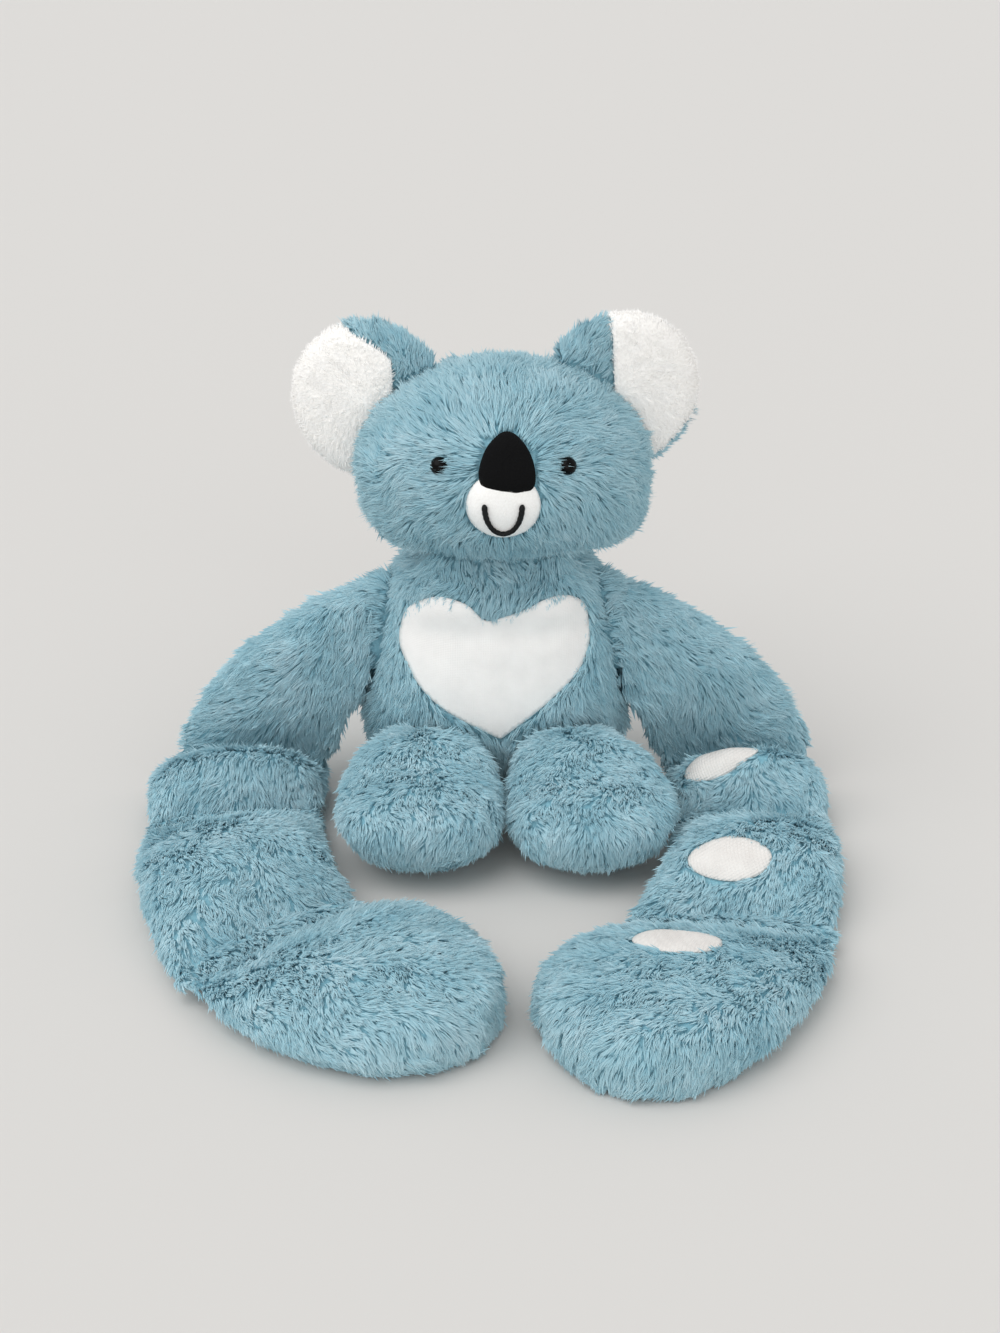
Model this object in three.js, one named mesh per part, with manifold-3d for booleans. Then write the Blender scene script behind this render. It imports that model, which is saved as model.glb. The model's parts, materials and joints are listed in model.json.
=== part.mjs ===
// A weighted koala toy sitting on a table. Every stuffed piece is a fur skin round a filling: a torso,
// a head with two ears, two short legs, and two long arms quilted into four pockets of beads each.
// Millimetres, +Z up, facing -Y, with the origin on the table under the middle of the seat. Left and
// right are the koala's own, so its left side is at +X.

import * as THREE from "three";
import { mergeVertices } from "three/addons/utils/BufferGeometryUtils.js";
import Module from "manifold-3d";

const wasm = await Module();
wasm.setup();

// Clearances and cloth. Each stuffed form dips restBite into the table and is cut flat there.
const clearance = 0.35;
const fillClearance = 0.4;
const restBite = 0.5;
const skinThickness = 9;
const skinUnder = 5;
const patchThickness = 1.6;
const slitWidth = 1.2;
const slitLength = 30;
const fillHoleRadius = 10;

// Torso
const torsoWidth = 176;
const torsoDepth = 126;
const torsoHeight = 168;
const torsoPower = 2.3;
// Shares of the height, width and depth, from the seat up
const torsoShares = [
  [0, 0.56, 0.56],
  [0.03, 0.76, 0.76],
  [0.1, 0.9, 0.9],
  [0.22, 0.98, 0.98],
  [0.36, 1, 1],
  [0.52, 0.965, 0.975],
  [0.68, 0.9, 0.92],
  [0.82, 0.82, 0.82],
  [0.92, 0.7, 0.66],
  [0.98, 0.5, 0.46],
  [1, 0.25, 0.22],
];
const torsoWidestRow = 4;

// Neck: a stuffed roll across the top of the torso, which the head sits on and nods about
const neckDip = 1;
const neckHeight = torsoHeight - neckDip;
const neckForward = 6;
const neckRadius = 20;
const neckLength = 56;
const neckWall = 4;
const neckClearance = 0.7;
const nodDegrees = 12;

// Head
const headWidth = 186;
const headDepth = 156;
const headHeight = 124;
const headCentreHeight = neckHeight + headHeight / 2;
const headForward = 14;
const headShift = 5;
const headPower = 2.15;
const cheekShare = 0.07;

// Ears
const earRadius = 51;
const earThickness = 15;
const earInset = 14;
const earAside = headWidth / 2 - earInset;
const earBack = 8;
const earRise = 33;
const earHeight = headCentreHeight + earRise;
const earHeightOffset = 3;
const earTurnDegrees = 14;
const earBaseDrop = 8;
const earBaseHeight = earHeight - earBaseDrop;
const earHingeLength = 30;
const earForwardDegrees = 24;
const earBackDegrees = 12;
const earPanelThickness = 3;
const earPanelInset = 0.5;
// Shares of the thickness and radius, from the back of the ear to its front
const earShares = [
  [-0.5, 0.78],
  [-0.3, 0.95],
  [0, 1],
  [0.3, 0.96],
  [0.5, 0.82],
];
// The ear's white front: where its edge follows the rim, counted from straight out towards the top, and
// then the points of its inner edge as shares of the radius
const earRimDegrees = { right: [-77, 69], left: [-30, 100] };
const earInnerShares = {
  right: [
    [-0.25, 0.63],
    [-0.34, 0.35],
    [-0.3, -0.1],
    [-0.1, -0.6],
  ],
  left: [
    [-0.14, 0.37],
    [-0.1, -0.1],
    [0.1, -0.55],
    [0.45, -0.88],
  ],
};

// Hinge beads: the rounded sewn edges that the ears, legs and arms swing on
const hingeRadius = 3.5;
const hingeStandOff = 1.5;

// Legs
const legLength = 142;
const legWidth = 98;
const legHeight = 76;
const legGap = 1;
const legSpacing = legWidth + legGap;
const legShift = 2;
const legStart = 42;
const legPower = 2.3;
const legSplayDegrees = 4;
const legLiftDegrees = 45;
const hipDrop = 18;
const hipHeight = legHeight - hipDrop;
const hipInset = 9.5;
const hipAside = legSpacing / 2 - hipInset;
const hipHingeLength = 24;
// Shares of the length and size, from the hip to the sole
const legShares = [
  [0, 0.66],
  [0.16, 0.78],
  [0.34, 0.91],
  [0.52, 1],
  [0.7, 1],
  [0.84, 0.87],
  [0.93, 0.66],
  [0.985, 0.36],
];
const legWidestRow = 3;

// Arms
const armSpread = 226;
const pawRoom = 206;
const armReach = legStart + legLength + pawRoom;
const pocketHeight = 46;
const pocketTopPower = 2.3;
const pocketUnderPower = 4;
const shoulderFront = 24;
const shoulderBack = 21;
const shoulderForward = 8;
const shoulderDrop = 20;
const shoulderTop = torsoHeight - shoulderDrop;
const shoulderHeight = 78;
const shoulderBottom = shoulderTop - shoulderHeight;
const shoulderInside = 14;
const shoulderHingeDrop = 36;
const shoulderHingeHeight = shoulderTop - shoulderHingeDrop;
const shoulderHingeLength = 30;
const shoulderSwingDegrees = 45;

// Quilting seams: the next pocket's edge is a round bead, and this pocket's hem stops just clear of it
const seamHeight = 14;
const seamThickness = 3;
const seamHem = 4;
const seamBeadRadius = 2.2;
const seamBeadEndShare = 0.9;
// Down and up limits of the folds, from the shoulder to the paw
const foldDegrees = [
  [-45, 12],
  [-30, 35],
  [-30, 45],
];

// The arms as they lie: shares of the spread and reach. A seam is its outer end and then its inner end.
const rightArmShares = {
  seams: [
    [0.956, -0.06, 0.5, -0.06],
    [0.969, -0.272, 0.496, -0.228],
    [0.78, -0.73, 0.354, -0.508],
  ],
  outer: [
    [[0.996, -0.156]],
    [[0.965, -0.405], [0.892, -0.575]],
    [[0.66, -0.825], [0.513, -0.896], [0.35, -0.94], [0.212, -0.945], [0.084, -0.915], [-0.005, -0.86]],
  ],
  inner: [
    [[0.487, -0.149]],
    [[0.451, -0.372]],
    [[0.257, -0.541], [0.155, -0.57], [0.058, -0.631], [-0.009, -0.721]],
  ],
  tip: [-0.03, -0.8],
};
const leftArmShares = {
  seams: [
    [0.934, -0.06, 0.5, -0.06],
    [0.938, -0.262, 0.505, -0.25],
    [0.872, -0.597, 0.335, -0.57],
  ],
  outer: [
    [[0.947, -0.16]],
    [[0.941, -0.36], [0.92, -0.47]],
    [[0.835, -0.715], [0.76, -0.805], [0.67, -0.88], [0.565, -0.94], [0.45, -0.977]],
  ],
  inner: [
    [[0.503, -0.16]],
    [[0.456, -0.41]],
    [[0.24, -0.618], [0.155, -0.678], [0.092, -0.742], [0.08, -0.82], [0.13, -0.9], [0.22, -0.958]],
  ],
  tip: [0.33, -0.985],
};
// Upper and lower edges of the shoulder pockets: shares of the arm's spread and the shoulder's height
const shoulderUpperShares = [
  [0.43, 0.945],
  [0.575, 0.82],
  [0.715, 0.68],
  [0.83, 0.49],
  [0.925, 0.25],
];
const shoulderLowerShares = [
  [0.44, 0.36],
  [0.475, 0.21],
];
// How a pocket's thickness grows along it: the shares of its length where it is full, and its tip's
const lateShare = 1.4;
const underRiseShare = 0.17;
const shoulderStartShare = 0.75;
const shoulderFullShare = 0.4;
const pawRiseShare = 0.38;
const pawTipShare = 0.45;
const pawEndShare = 0.985;
const pawPower = 2.4;
// Where the beads' bags start and end along a pocket
const bagShares = [
  [0.14, 0.68],
  [0.3, 0.82],
  [0.18, 0.82],
  [0.14, 0.86],
];

// Pads on three pockets of the left arm: shares of the spread and reach, and the turn in degrees
const padLength = 50;
const padWidth = 29;
const padShares = [
  [0.64, -0.165],
  [0.612, -0.487],
  [0.44, -0.745],
];
const padTurnDegrees = [14, -4, -6];

// Face
const eyeDiameter = 11;
const eyeDome = 4.5;
const eyeSeat = 1;
const eyeStemRadius = 2;
const eyeStemPast = 4;
const eyeSpacing = 80;
const eyeRise = 17;
const eyeHeight = headCentreHeight + eyeRise;
const washerRadius = 6.5;
const washerThickness = 1.5;
const noseWidth = 33;
const noseHeight = 33;
const noseRise = 2;
const noseBottom = headCentreHeight + noseRise;
const noseTop = noseBottom + noseHeight;
const noseAside = 2;
const noseShift = headShift + noseAside;
const muzzleWidth = 47;
const muzzleHeight = 45;
const muzzleDrop = 31;
const muzzleBottom = headCentreHeight - muzzleDrop;
const muzzleTop = muzzleBottom + muzzleHeight;
const muzzleThickness = 3;
const smileWidth = 24;
const smileHeight = 19;
const smileRise = 6;
const smileBottom = muzzleBottom + smileRise;
const smileTop = smileBottom + smileHeight;
const threadWidth = 2;
const threadHeight = 1.2;

// Heart on the chest
const heartWidth = 118;
const heartHeight = 95;
const heartDrop = 21;
const heartTop = torsoHeight - heartDrop;
const heartBottom = heartTop - heartHeight;
const heartShift = -1;

// Outlines as shares of the width, from the middle, and of the height. Each starts at its corner.
const heartShares = [
  [0.03, 0],
  [0.26, 0.235],
  [0.43, 0.43],
  [0.495, 0.58],
  [0.5, 0.73],
  [0.47, 0.905],
  [0.37, 1],
  [0.255, 0.985],
  [0.14, 0.915],
  [0.05, 0.87],
  [-0.05, 0.84],
  [-0.15, 0.965],
  [-0.305, 1],
  [-0.44, 0.9],
  [-0.5, 0.73],
  [-0.49, 0.55],
  [-0.33, 0.26],
];
const noseShares = [
  [0, 1],
  [0.2, 0.92],
  [0.39, 0.72],
  [0.5, 0.42],
  [0.47, 0.13],
  [0.17, 0],
  [-0.19, 0.05],
  [-0.44, 0.17],
  [-0.5, 0.4],
  [-0.38, 0.74],
];

// Counts of faces
const torsoSideCount = 20;
const headSideCount = 20;
const headLevelCount = 10;
const legSideCount = 14;
const earSideCount = 18;
const rodSideCount = 8;
const topSideCount = 7;
const underSideCount = 4;
const pocketStepCount = 7;
const bagStepCount = 5;
const ovalStepCount = 5;
const rimStepCount = 14;
const splineStepCount = 2;
const domeStepCount = 3;
const swingStepCount = 3;

// Small helpers

const vec = (x, y, z) => new THREE.Vector3(x, y, z);
const up = vec(0, 0, 1);
const radians = THREE.MathUtils.degToRad;
const mix = THREE.MathUtils.lerp;

// Turns a closed geometry into a solid that can be joined and cut.
function solidOf(geometry) {
  const plain = geometry.clone();
  plain.deleteAttribute("normal");
  plain.deleteAttribute("uv");
  const merged = mergeVertices(plain);
  return new wasm.Manifold(
    new wasm.Mesh({
      numProp: 3,
      vertProperties: new Float32Array(merged.attributes.position.array),
      triVerts: new Uint32Array(merged.index.array),
    }),
  );
}

// The biggest of a cut solid's separate bodies.
function largest(solid) {
  return solid.decompose().reduce((best, part) => (part.volume() > best.volume() ? part : best));
}

function signedVolume(points, index) {
  let volume = 0;
  for (let i = 0; i < index.length; i += 3) {
    const [a, b, c] = [0, 1, 2].map((k) => points[index[i + k]]);
    volume += a.dot(b.clone().cross(c));
  }
  return volume;
}

// Skins a row of rings, each a closed loop of the same number of points, and closes both ends flat.
function loft(rings) {
  const points = rings.flat();
  const count = rings[0].length;
  const index = [];
  for (let r = 0; r + 1 < rings.length; r++) {
    for (let k = 0; k < count; k++) {
      const a = r * count + k;
      const b = r * count + ((k + 1) % count);
      index.push(a, b, b + count, a, b + count, a + count);
    }
  }
  const lastStart = (rings.length - 1) * count;
  for (let k = 1; k + 1 < count; k++) {
    index.push(0, k + 1, k);
    index.push(lastStart, lastStart + k, lastStart + k + 1);
  }
  if (signedVolume(points, index) < 0) index.reverse();
  const geometry = new THREE.BufferGeometry();
  geometry.setAttribute("position", new THREE.Float32BufferAttribute(points.flatMap((p) => p.toArray()), 3));
  geometry.setIndex(index);
  return geometry;
}

// A point of a superellipse of unit size. Power 2 is round, and a higher power is squarer.
function roundAt(angle, power) {
  const bend = (v) => Math.sign(v) * Math.abs(v) ** (2 / power);
  return [bend(Math.cos(angle)), bend(Math.sin(angle))];
}

// A solid rod centred on a point and lying along an axis.
function rod(centre, axis, radius, length) {
  const geometry = new THREE.CylinderGeometry(radius, radius, length, rodSideCount);
  geometry.applyQuaternion(new THREE.Quaternion().setFromUnitVectors(vec(0, 1, 0), axis));
  geometry.translate(centre.x, centre.y, centre.z);
  return solidOf(geometry);
}

function cutAtTable(solid) {
  const block = new THREE.BoxGeometry(3 * armReach, 3 * armReach, pocketHeight);
  block.translate(0, 0, -pocketHeight / 2);
  return solid.subtract(solidOf(block));
}

function turnAbout(geometry, hinge, degrees) {
  const turned = geometry.clone();
  const { x, y, z } = hinge.point;
  turned.translate(-x, -y, -z);
  turned.applyMatrix4(new THREE.Matrix4().makeRotationAxis(hinge.axis, radians(degrees)));
  turned.translate(x, y, z);
  return turned;
}

// Clears a piece of the larger one that it swings on, at rest and through its whole swing.
function clearSwing(solid, larger, hinge) {
  let cleared = solid;
  for (let i = 0; i <= swingStepCount; i++) {
    const degrees = mix(hinge.from, hinge.to, i / swingStepCount);
    cleared = cleared.subtract(solidOf(turnAbout(larger, hinge, -degrees)));
  }
  return cleared;
}

// The room that a piece takes up as it swings.
function swingRoom(geometry, hinge) {
  let room = solidOf(geometry);
  for (let i = 1; i <= swingStepCount; i++) {
    room = room.add(solidOf(turnAbout(geometry, hinge, mix(hinge.from, hinge.to, i / swingStepCount))));
  }
  return room;
}

const hingeBead = (hinge, extra) =>
  rod(hinge.point, hinge.axis, hingeRadius + extra, hinge.length + 2 * extra);

// A sheet that lies on a form, a clearance away from it, inside the outline that the prism carries.
function sheetOn(form, prism, thickness, lift = clearance) {
  const outer = solidOf(form(lift + thickness));
  return largest(solidOf(prism).intersect(outer).subtract(solidOf(form(lift))));
}

// Runs a flat outline, drawn in x and z, from the toy's middle plane out past its front.
function frontPrism(shape, curveSegments) {
  const prism = new THREE.ExtrudeGeometry(shape, { depth: headDepth, bevelEnabled: false, curveSegments });
  return prism.rotateX(radians(90));
}

// A smooth outline with one corner, from shares of its width and height.
function outlineOf(shares, middle, bottom, width, top) {
  const points = shares.map(([x, z]) => new THREE.Vector2(middle + x * width, mix(bottom, top, z)));
  const shape = new THREE.Shape();
  shape.moveTo(points[0].x, points[0].y);
  shape.splineThru([...points.slice(1), points[0]]);
  return shape;
}

// Torso and neck

function torsoForm(extra) {
  return loft(
    torsoShares.map(([heightShare, widthShare, depthShare], row) => {
      const z = mix(-restBite, torsoHeight, heightShare) + extra * Math.sign(row - torsoWidestRow);
      return Array.from({ length: torsoSideCount }, (_, k) => {
        const [x, y] = roundAt((2 * Math.PI * k) / torsoSideCount, torsoPower);
        const halfWidth = (torsoWidth * widthShare) / 2 + extra;
        const halfDepth = (torsoDepth * depthShare) / 2 + extra;
        return vec(x * halfWidth, y * halfDepth, z);
      });
    }),
  );
}

// Half width and half depth of the torso at a height.
function torsoAt(height) {
  const share = height / torsoHeight;
  const i = torsoShares.findIndex((row) => row[0] > share);
  const [low, high] = [torsoShares[i - 1], torsoShares[i]];
  const t = (share - low[0]) / (high[0] - low[0]);
  return {
    width: (torsoWidth * mix(low[1], high[1], t)) / 2,
    depth: (torsoDepth * mix(low[2], high[2], t)) / 2,
  };
}

const neck = {
  point: vec(headShift / 2, -neckForward, neckHeight),
  axis: vec(1, 0, 0),
  from: -nodDegrees,
  to: nodDegrees,
};

function neckRoll(extra) {
  const roll = new THREE.CapsuleGeometry(neckRadius + extra, neckLength, domeStepCount, 2 * rodSideCount);
  roll.rotateZ(radians(90));
  roll.translate(neck.point.x, neck.point.y, neck.point.z);
  return solidOf(roll);
}

// Head

const headCentre = vec(headShift, -headForward, headCentreHeight);

function headForm(extra) {
  return loft(
    Array.from({ length: headLevelCount }, (_, i) => {
      const rise = radians(mix(-90, 90, (i + 1 / 2) / headLevelCount));
      const fullness = 1 - cheekShare * Math.sin(rise);
      return Array.from({ length: headSideCount }, (__, k) => {
        const [x, y] = roundAt((2 * Math.PI * k) / headSideCount, headPower);
        return vec(
          x * (headWidth / 2 + extra) * Math.cos(rise) * fullness,
          y * (headDepth / 2 + extra) * Math.cos(rise),
          (headHeight / 2 + extra) * Math.sin(rise),
        ).add(headCentre);
      });
    }),
  );
}

// Half width and half depth of the head at a height.
function headAt(height) {
  const rise = Math.asin((height - headCentre.z) / (headHeight / 2));
  return {
    width: (headWidth / 2) * Math.cos(rise) * (1 - cheekShare * Math.sin(rise)),
    depth: (headDepth / 2) * Math.cos(rise),
  };
}

// The direction straight out of the head at a point of its surface.
function outOfHead(point) {
  const from = point.clone().sub(headCentre);
  return vec(
    from.x / (headWidth / 2) ** 2,
    from.y / (headDepth / 2) ** 2,
    from.z / (headHeight / 2) ** 2,
  ).normalize();
}

// The other half size of a superellipse where one share of it is given.
const otherShare = (share, power) => (1 - Math.abs(share) ** power) ** (1 / power);

function headFrontAt(x, z) {
  const size = headAt(z);
  const y = headCentre.y - size.depth * otherShare((x - headCentre.x) / size.width, headPower);
  return vec(x, y, z);
}

function headSideAt(side, y, z) {
  const size = headAt(z);
  const x = headCentre.x + side * size.width * otherShare((y - headCentre.y) / size.depth, headPower);
  return vec(x, y, z);
}

// Ears: a fur disc that the head cuts, with a white panel on its front

// The panel's outline as shares of its radius: outwards and up from the middle of the ear.
function earPanelOutline(name) {
  const [low, high] = earRimDegrees[name].map(radians);
  const rim = Array.from({ length: rimStepCount + 1 }, (_, k) => {
    const angle = mix(low, high, k / rimStepCount);
    return new THREE.Vector2(Math.cos(angle), Math.sin(angle));
  });
  const inner = earInnerShares[name].map(([u, v]) => new THREE.Vector2(u, v));
  const edge = new THREE.SplineCurve([rim.at(-1), ...inner, rim[0]]).getPoints(rimStepCount);
  return [...rim, ...edge.slice(1, -1)].map((point) => point.toArray());
}

function makeEar(side) {
  const front = vec(side * Math.sin(radians(earTurnDegrees)), -Math.cos(radians(earTurnDegrees)), 0);
  const aside = up.clone().cross(front);
  const centre = vec(side * earAside, earBack, earHeight + side * earHeightOffset);
  const form = (extra) =>
    loft(
      earShares.map(([throughShare, radiusShare]) =>
        Array.from({ length: earSideCount }, (_, k) => {
          const angle = (2 * Math.PI * k) / earSideCount;
          const radius = earRadius * radiusShare + extra;
          return centre
            .clone()
            .addScaledVector(aside, radius * Math.cos(angle))
            .addScaledVector(up, radius * Math.sin(angle))
            .addScaledVector(front, throughShare * (earThickness + 2 * extra));
        }),
      ),
    );

  // the ear folds about the line where the middle of its base is sewn on
  const base = headSideAt(side, earBack, earBaseHeight + side * earHeightOffset);
  const out = outOfHead(base).setY(0).normalize();
  const hinge = {
    point: base.addScaledVector(out, hingeStandOff),
    axis: out.clone().cross(front).normalize(),
    from: -earBackDegrees,
    to: earForwardDegrees,
    length: earHingeLength,
  };
  const disc = largest(clearSwing(solidOf(form(0)), headForm(clearance), hinge));

  const outline = earPanelOutline(side > 0 ? "left" : "right");
  const radius = earRadius - earPanelInset;
  const sized = outline.map(([u, v]) => new THREE.Vector2(side * u * radius, v * radius));
  const prism = new THREE.ExtrudeGeometry(new THREE.Shape(sized), { depth: earRadius, bevelEnabled: false });
  prism.applyMatrix4(new THREE.Matrix4().makeBasis(aside, up, front));
  prism.translate(centre.x, centre.y, centre.z);
  const panel = clearSwing(sheetOn(form, prism, earPanelThickness), headForm(clearance), hinge);
  return { back: disc.add(hingeBead(hinge, 0)), panel: largest(panel), hinge };
}

// Legs: short stuffed forms that end in round feet, cut at the hip by the torso

function makeLeg(side) {
  const splay = radians(legSplayDegrees);
  const ahead = vec(side * Math.sin(splay), -Math.cos(splay), 0);
  const across = vec(Math.cos(splay), side * Math.sin(splay), 0);
  const middleHeight = (legHeight - restBite) / 2;
  const middleReach = legStart + legLength / 2;
  const start = vec(legShift + (side * legSpacing) / 2, -middleReach, middleHeight);
  start.addScaledVector(ahead, -legLength / 2);
  const form = (extra, under) =>
    loft(
      legShares.map(([lengthShare, sizeShare], row) => {
        const along = legLength * lengthShare + extra * Math.sign(row - legWidestRow);
        const middle = start.clone().addScaledVector(ahead, along);
        return Array.from({ length: legSideCount }, (_, k) => {
          const [x, z] = roundAt((2 * Math.PI * (k + 1 / 2)) / legSideCount, legPower);
          const halfHeight = ((legHeight + restBite) / 2) * sizeShare + (z > 0 ? extra : under);
          return middle
            .clone()
            .addScaledVector(across, x * ((legWidth / 2) * sizeShare + extra))
            .addScaledVector(up, z * halfHeight);
        });
      }),
    );

  // the leg lifts about the upper edge of its hip, just in front of the torso
  const torso = torsoAt(hipHeight);
  const torsoFront = torso.depth * otherShare(hipAside / torso.width, torsoPower);
  const hinge = {
    point: vec(side * hipAside, -torsoFront - hingeStandOff, hipHeight),
    axis: vec(-1, 0, 0),
    from: 0,
    to: legLiftDegrees,
    length: hipHingeLength,
  };
  const outer = clearSwing(cutAtTable(solidOf(form(0, 0))), torsoForm(clearance), hinge);
  const inside = (extra) => {
    const core = solidOf(form(-skinThickness - extra, -skinUnder - extra));
    return largest(core.subtract(solidOf(torsoForm(clearance + skinThickness + extra))));
  };
  const hole = rod(start, ahead, fillHoleRadius, legLength);
  const skin = largest(outer).add(hingeBead(hinge, 0)).subtract(inside(0)).subtract(hole);
  const room = swingRoom(form(clearance, clearance), hinge);
  return { skin: largest(skin), fill: inside(fillClearance), hinge, room };
}

// Arms

const edgeThrough = (points) => new THREE.CatmullRomCurve3(points, false, "centripetal");

// One ring of a pocket, from its outer edge over the top to its inner edge and back underneath.
function pocketRing({ outer, inner, normal, top, under }) {
  const middle = outer.clone().lerp(inner, 1 / 2);
  const half = outer.clone().sub(inner).divideScalar(2);
  const ring = [];
  for (const [sides, power, start, height] of [
    [topSideCount, pocketTopPower, 0, top],
    [underSideCount, pocketUnderPower, Math.PI, under],
  ]) {
    for (let k = 0; k < sides; k++) {
      const [v, w] = roundAt(start + (Math.PI * k) / sides, power);
      ring.push(middle.clone().addScaledVector(half, v).addScaledVector(normal, w * height));
    }
  }
  return ring;
}

// Where a pocket's section lies at a share of its length. Extra grows it, and less than zero draws it in.
function pocketSection(pocket, share, extra) {
  const outer = pocket.outer.getPointAt(share);
  const inner = pocket.inner.getPointAt(share);
  const along = inner.clone().sub(outer).normalize();
  const hem = seamThickness / 2;
  return {
    outer: outer.addScaledVector(along, -extra),
    inner: inner.addScaledVector(along, extra),
    normal: pocket.normal(share),
    top: mix(hem, pocket.top, pocket.topProfile(share)) + extra,
    under: mix(hem, pocket.under, pocket.underProfile(share)) + Math.max(extra, extra + pocket.underSpare),
  };
}

// Sections of a sewn edge, at distances from the seam's axis into a pocket.
function seamSections(seam, into, normal, places) {
  return places.map((place) => {
    const bead = Math.sqrt(Math.max(seamBeadRadius ** 2 - place ** 2, 0));
    const half = place > 0 ? seamThickness / 2 : bead;
    return {
      outer: seam.outer.clone().addScaledVector(into, place),
      inner: seam.inner.clone().addScaledVector(into, place),
      normal,
      top: half,
      under: half,
    };
  });
}

function pocketForm(pocket, extra) {
  const sections = [...pocket.startSections];
  for (let i = pocket.startSections.length ? 1 : 0; i < pocketStepCount; i++) {
    sections.push(pocketSection(pocket, (i / pocketStepCount) * pocket.endShare, extra));
  }
  sections.push(...(pocket.endSections ?? [pocketSection(pocket, pocket.endShare, extra)]));
  return loft(sections.map(pocketRing));
}

function bagForm(pocket, extra) {
  const endGap = extra / pocket.inner.getLength();
  const [from, to] = [pocket.bag[0] + endGap, pocket.bag[1] - endGap];
  const sections = Array.from({ length: bagStepCount + 1 }, (_, i) =>
    pocketSection(pocket, mix(from, to, i / bagStepCount), -skinThickness - extra),
  );
  const bag = solidOf(loft(sections.map(pocketRing)));
  return pocket.shapeBag ? pocket.shapeBag(bag, extra) : bag;
}

// A narrow slit through the inner edge of a pocket, where its bag goes in and is sewn shut.
function fillingSlit(pocket) {
  const share = 1 / 2;
  const edge = pocket.inner.getPointAt(share);
  const across = pocket.outer.getPointAt(share).sub(edge).normalize();
  const normal = pocket.normal(share);
  const along = normal.clone().cross(across).normalize();
  const slit = new THREE.BoxGeometry(slitLength, 4 * skinThickness, slitWidth);
  slit.applyMatrix4(new THREE.Matrix4().makeBasis(along, across, along.clone().cross(across)));
  slit.translate(edge.x, edge.y, edge.z);
  return solidOf(slit);
}

function makePocket(pocket) {
  const outer = cutAtTable(solidOf(pocketForm(pocket, 0)));
  const shaped = pocket.shape ? pocket.shape(outer) : outer;
  const skin = shaped.subtract(bagForm(pocket, 0)).subtract(fillingSlit(pocket));
  return { ...pocket, skin: largest(skin), bag: bagForm(pocket, fillClearance) };
}

// Thickness along a pocket: full in the middle and drawn in at its seams
const arch = (share) => Math.sin(Math.PI * share);
const lateArch = (share) => Math.sin(Math.PI * share ** lateShare);
const flatUnder = (share) => Math.min(1, share / underRiseShare, (1 - share) / underRiseShare);
const pawTip = (share) => otherShare(Math.max(0, (share - pawTipShare) / (1 - pawTipShare)), pawPower);
const pawTop = (share) => Math.sin((Math.PI / 2) * Math.min(1, share / pawRiseShare)) * pawTip(share);
const pawUnder = (share) => Math.min(1, share / underRiseShare) * pawTip(share);
const shoulderArch = (share) => {
  if (share < shoulderFullShare) return mix(shoulderStartShare, 1, share / shoulderFullShare);
  const left = (1 - share) / (1 - shoulderFullShare);
  return Math.sin((Math.PI / 2) * left ** lateShare);
};

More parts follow.
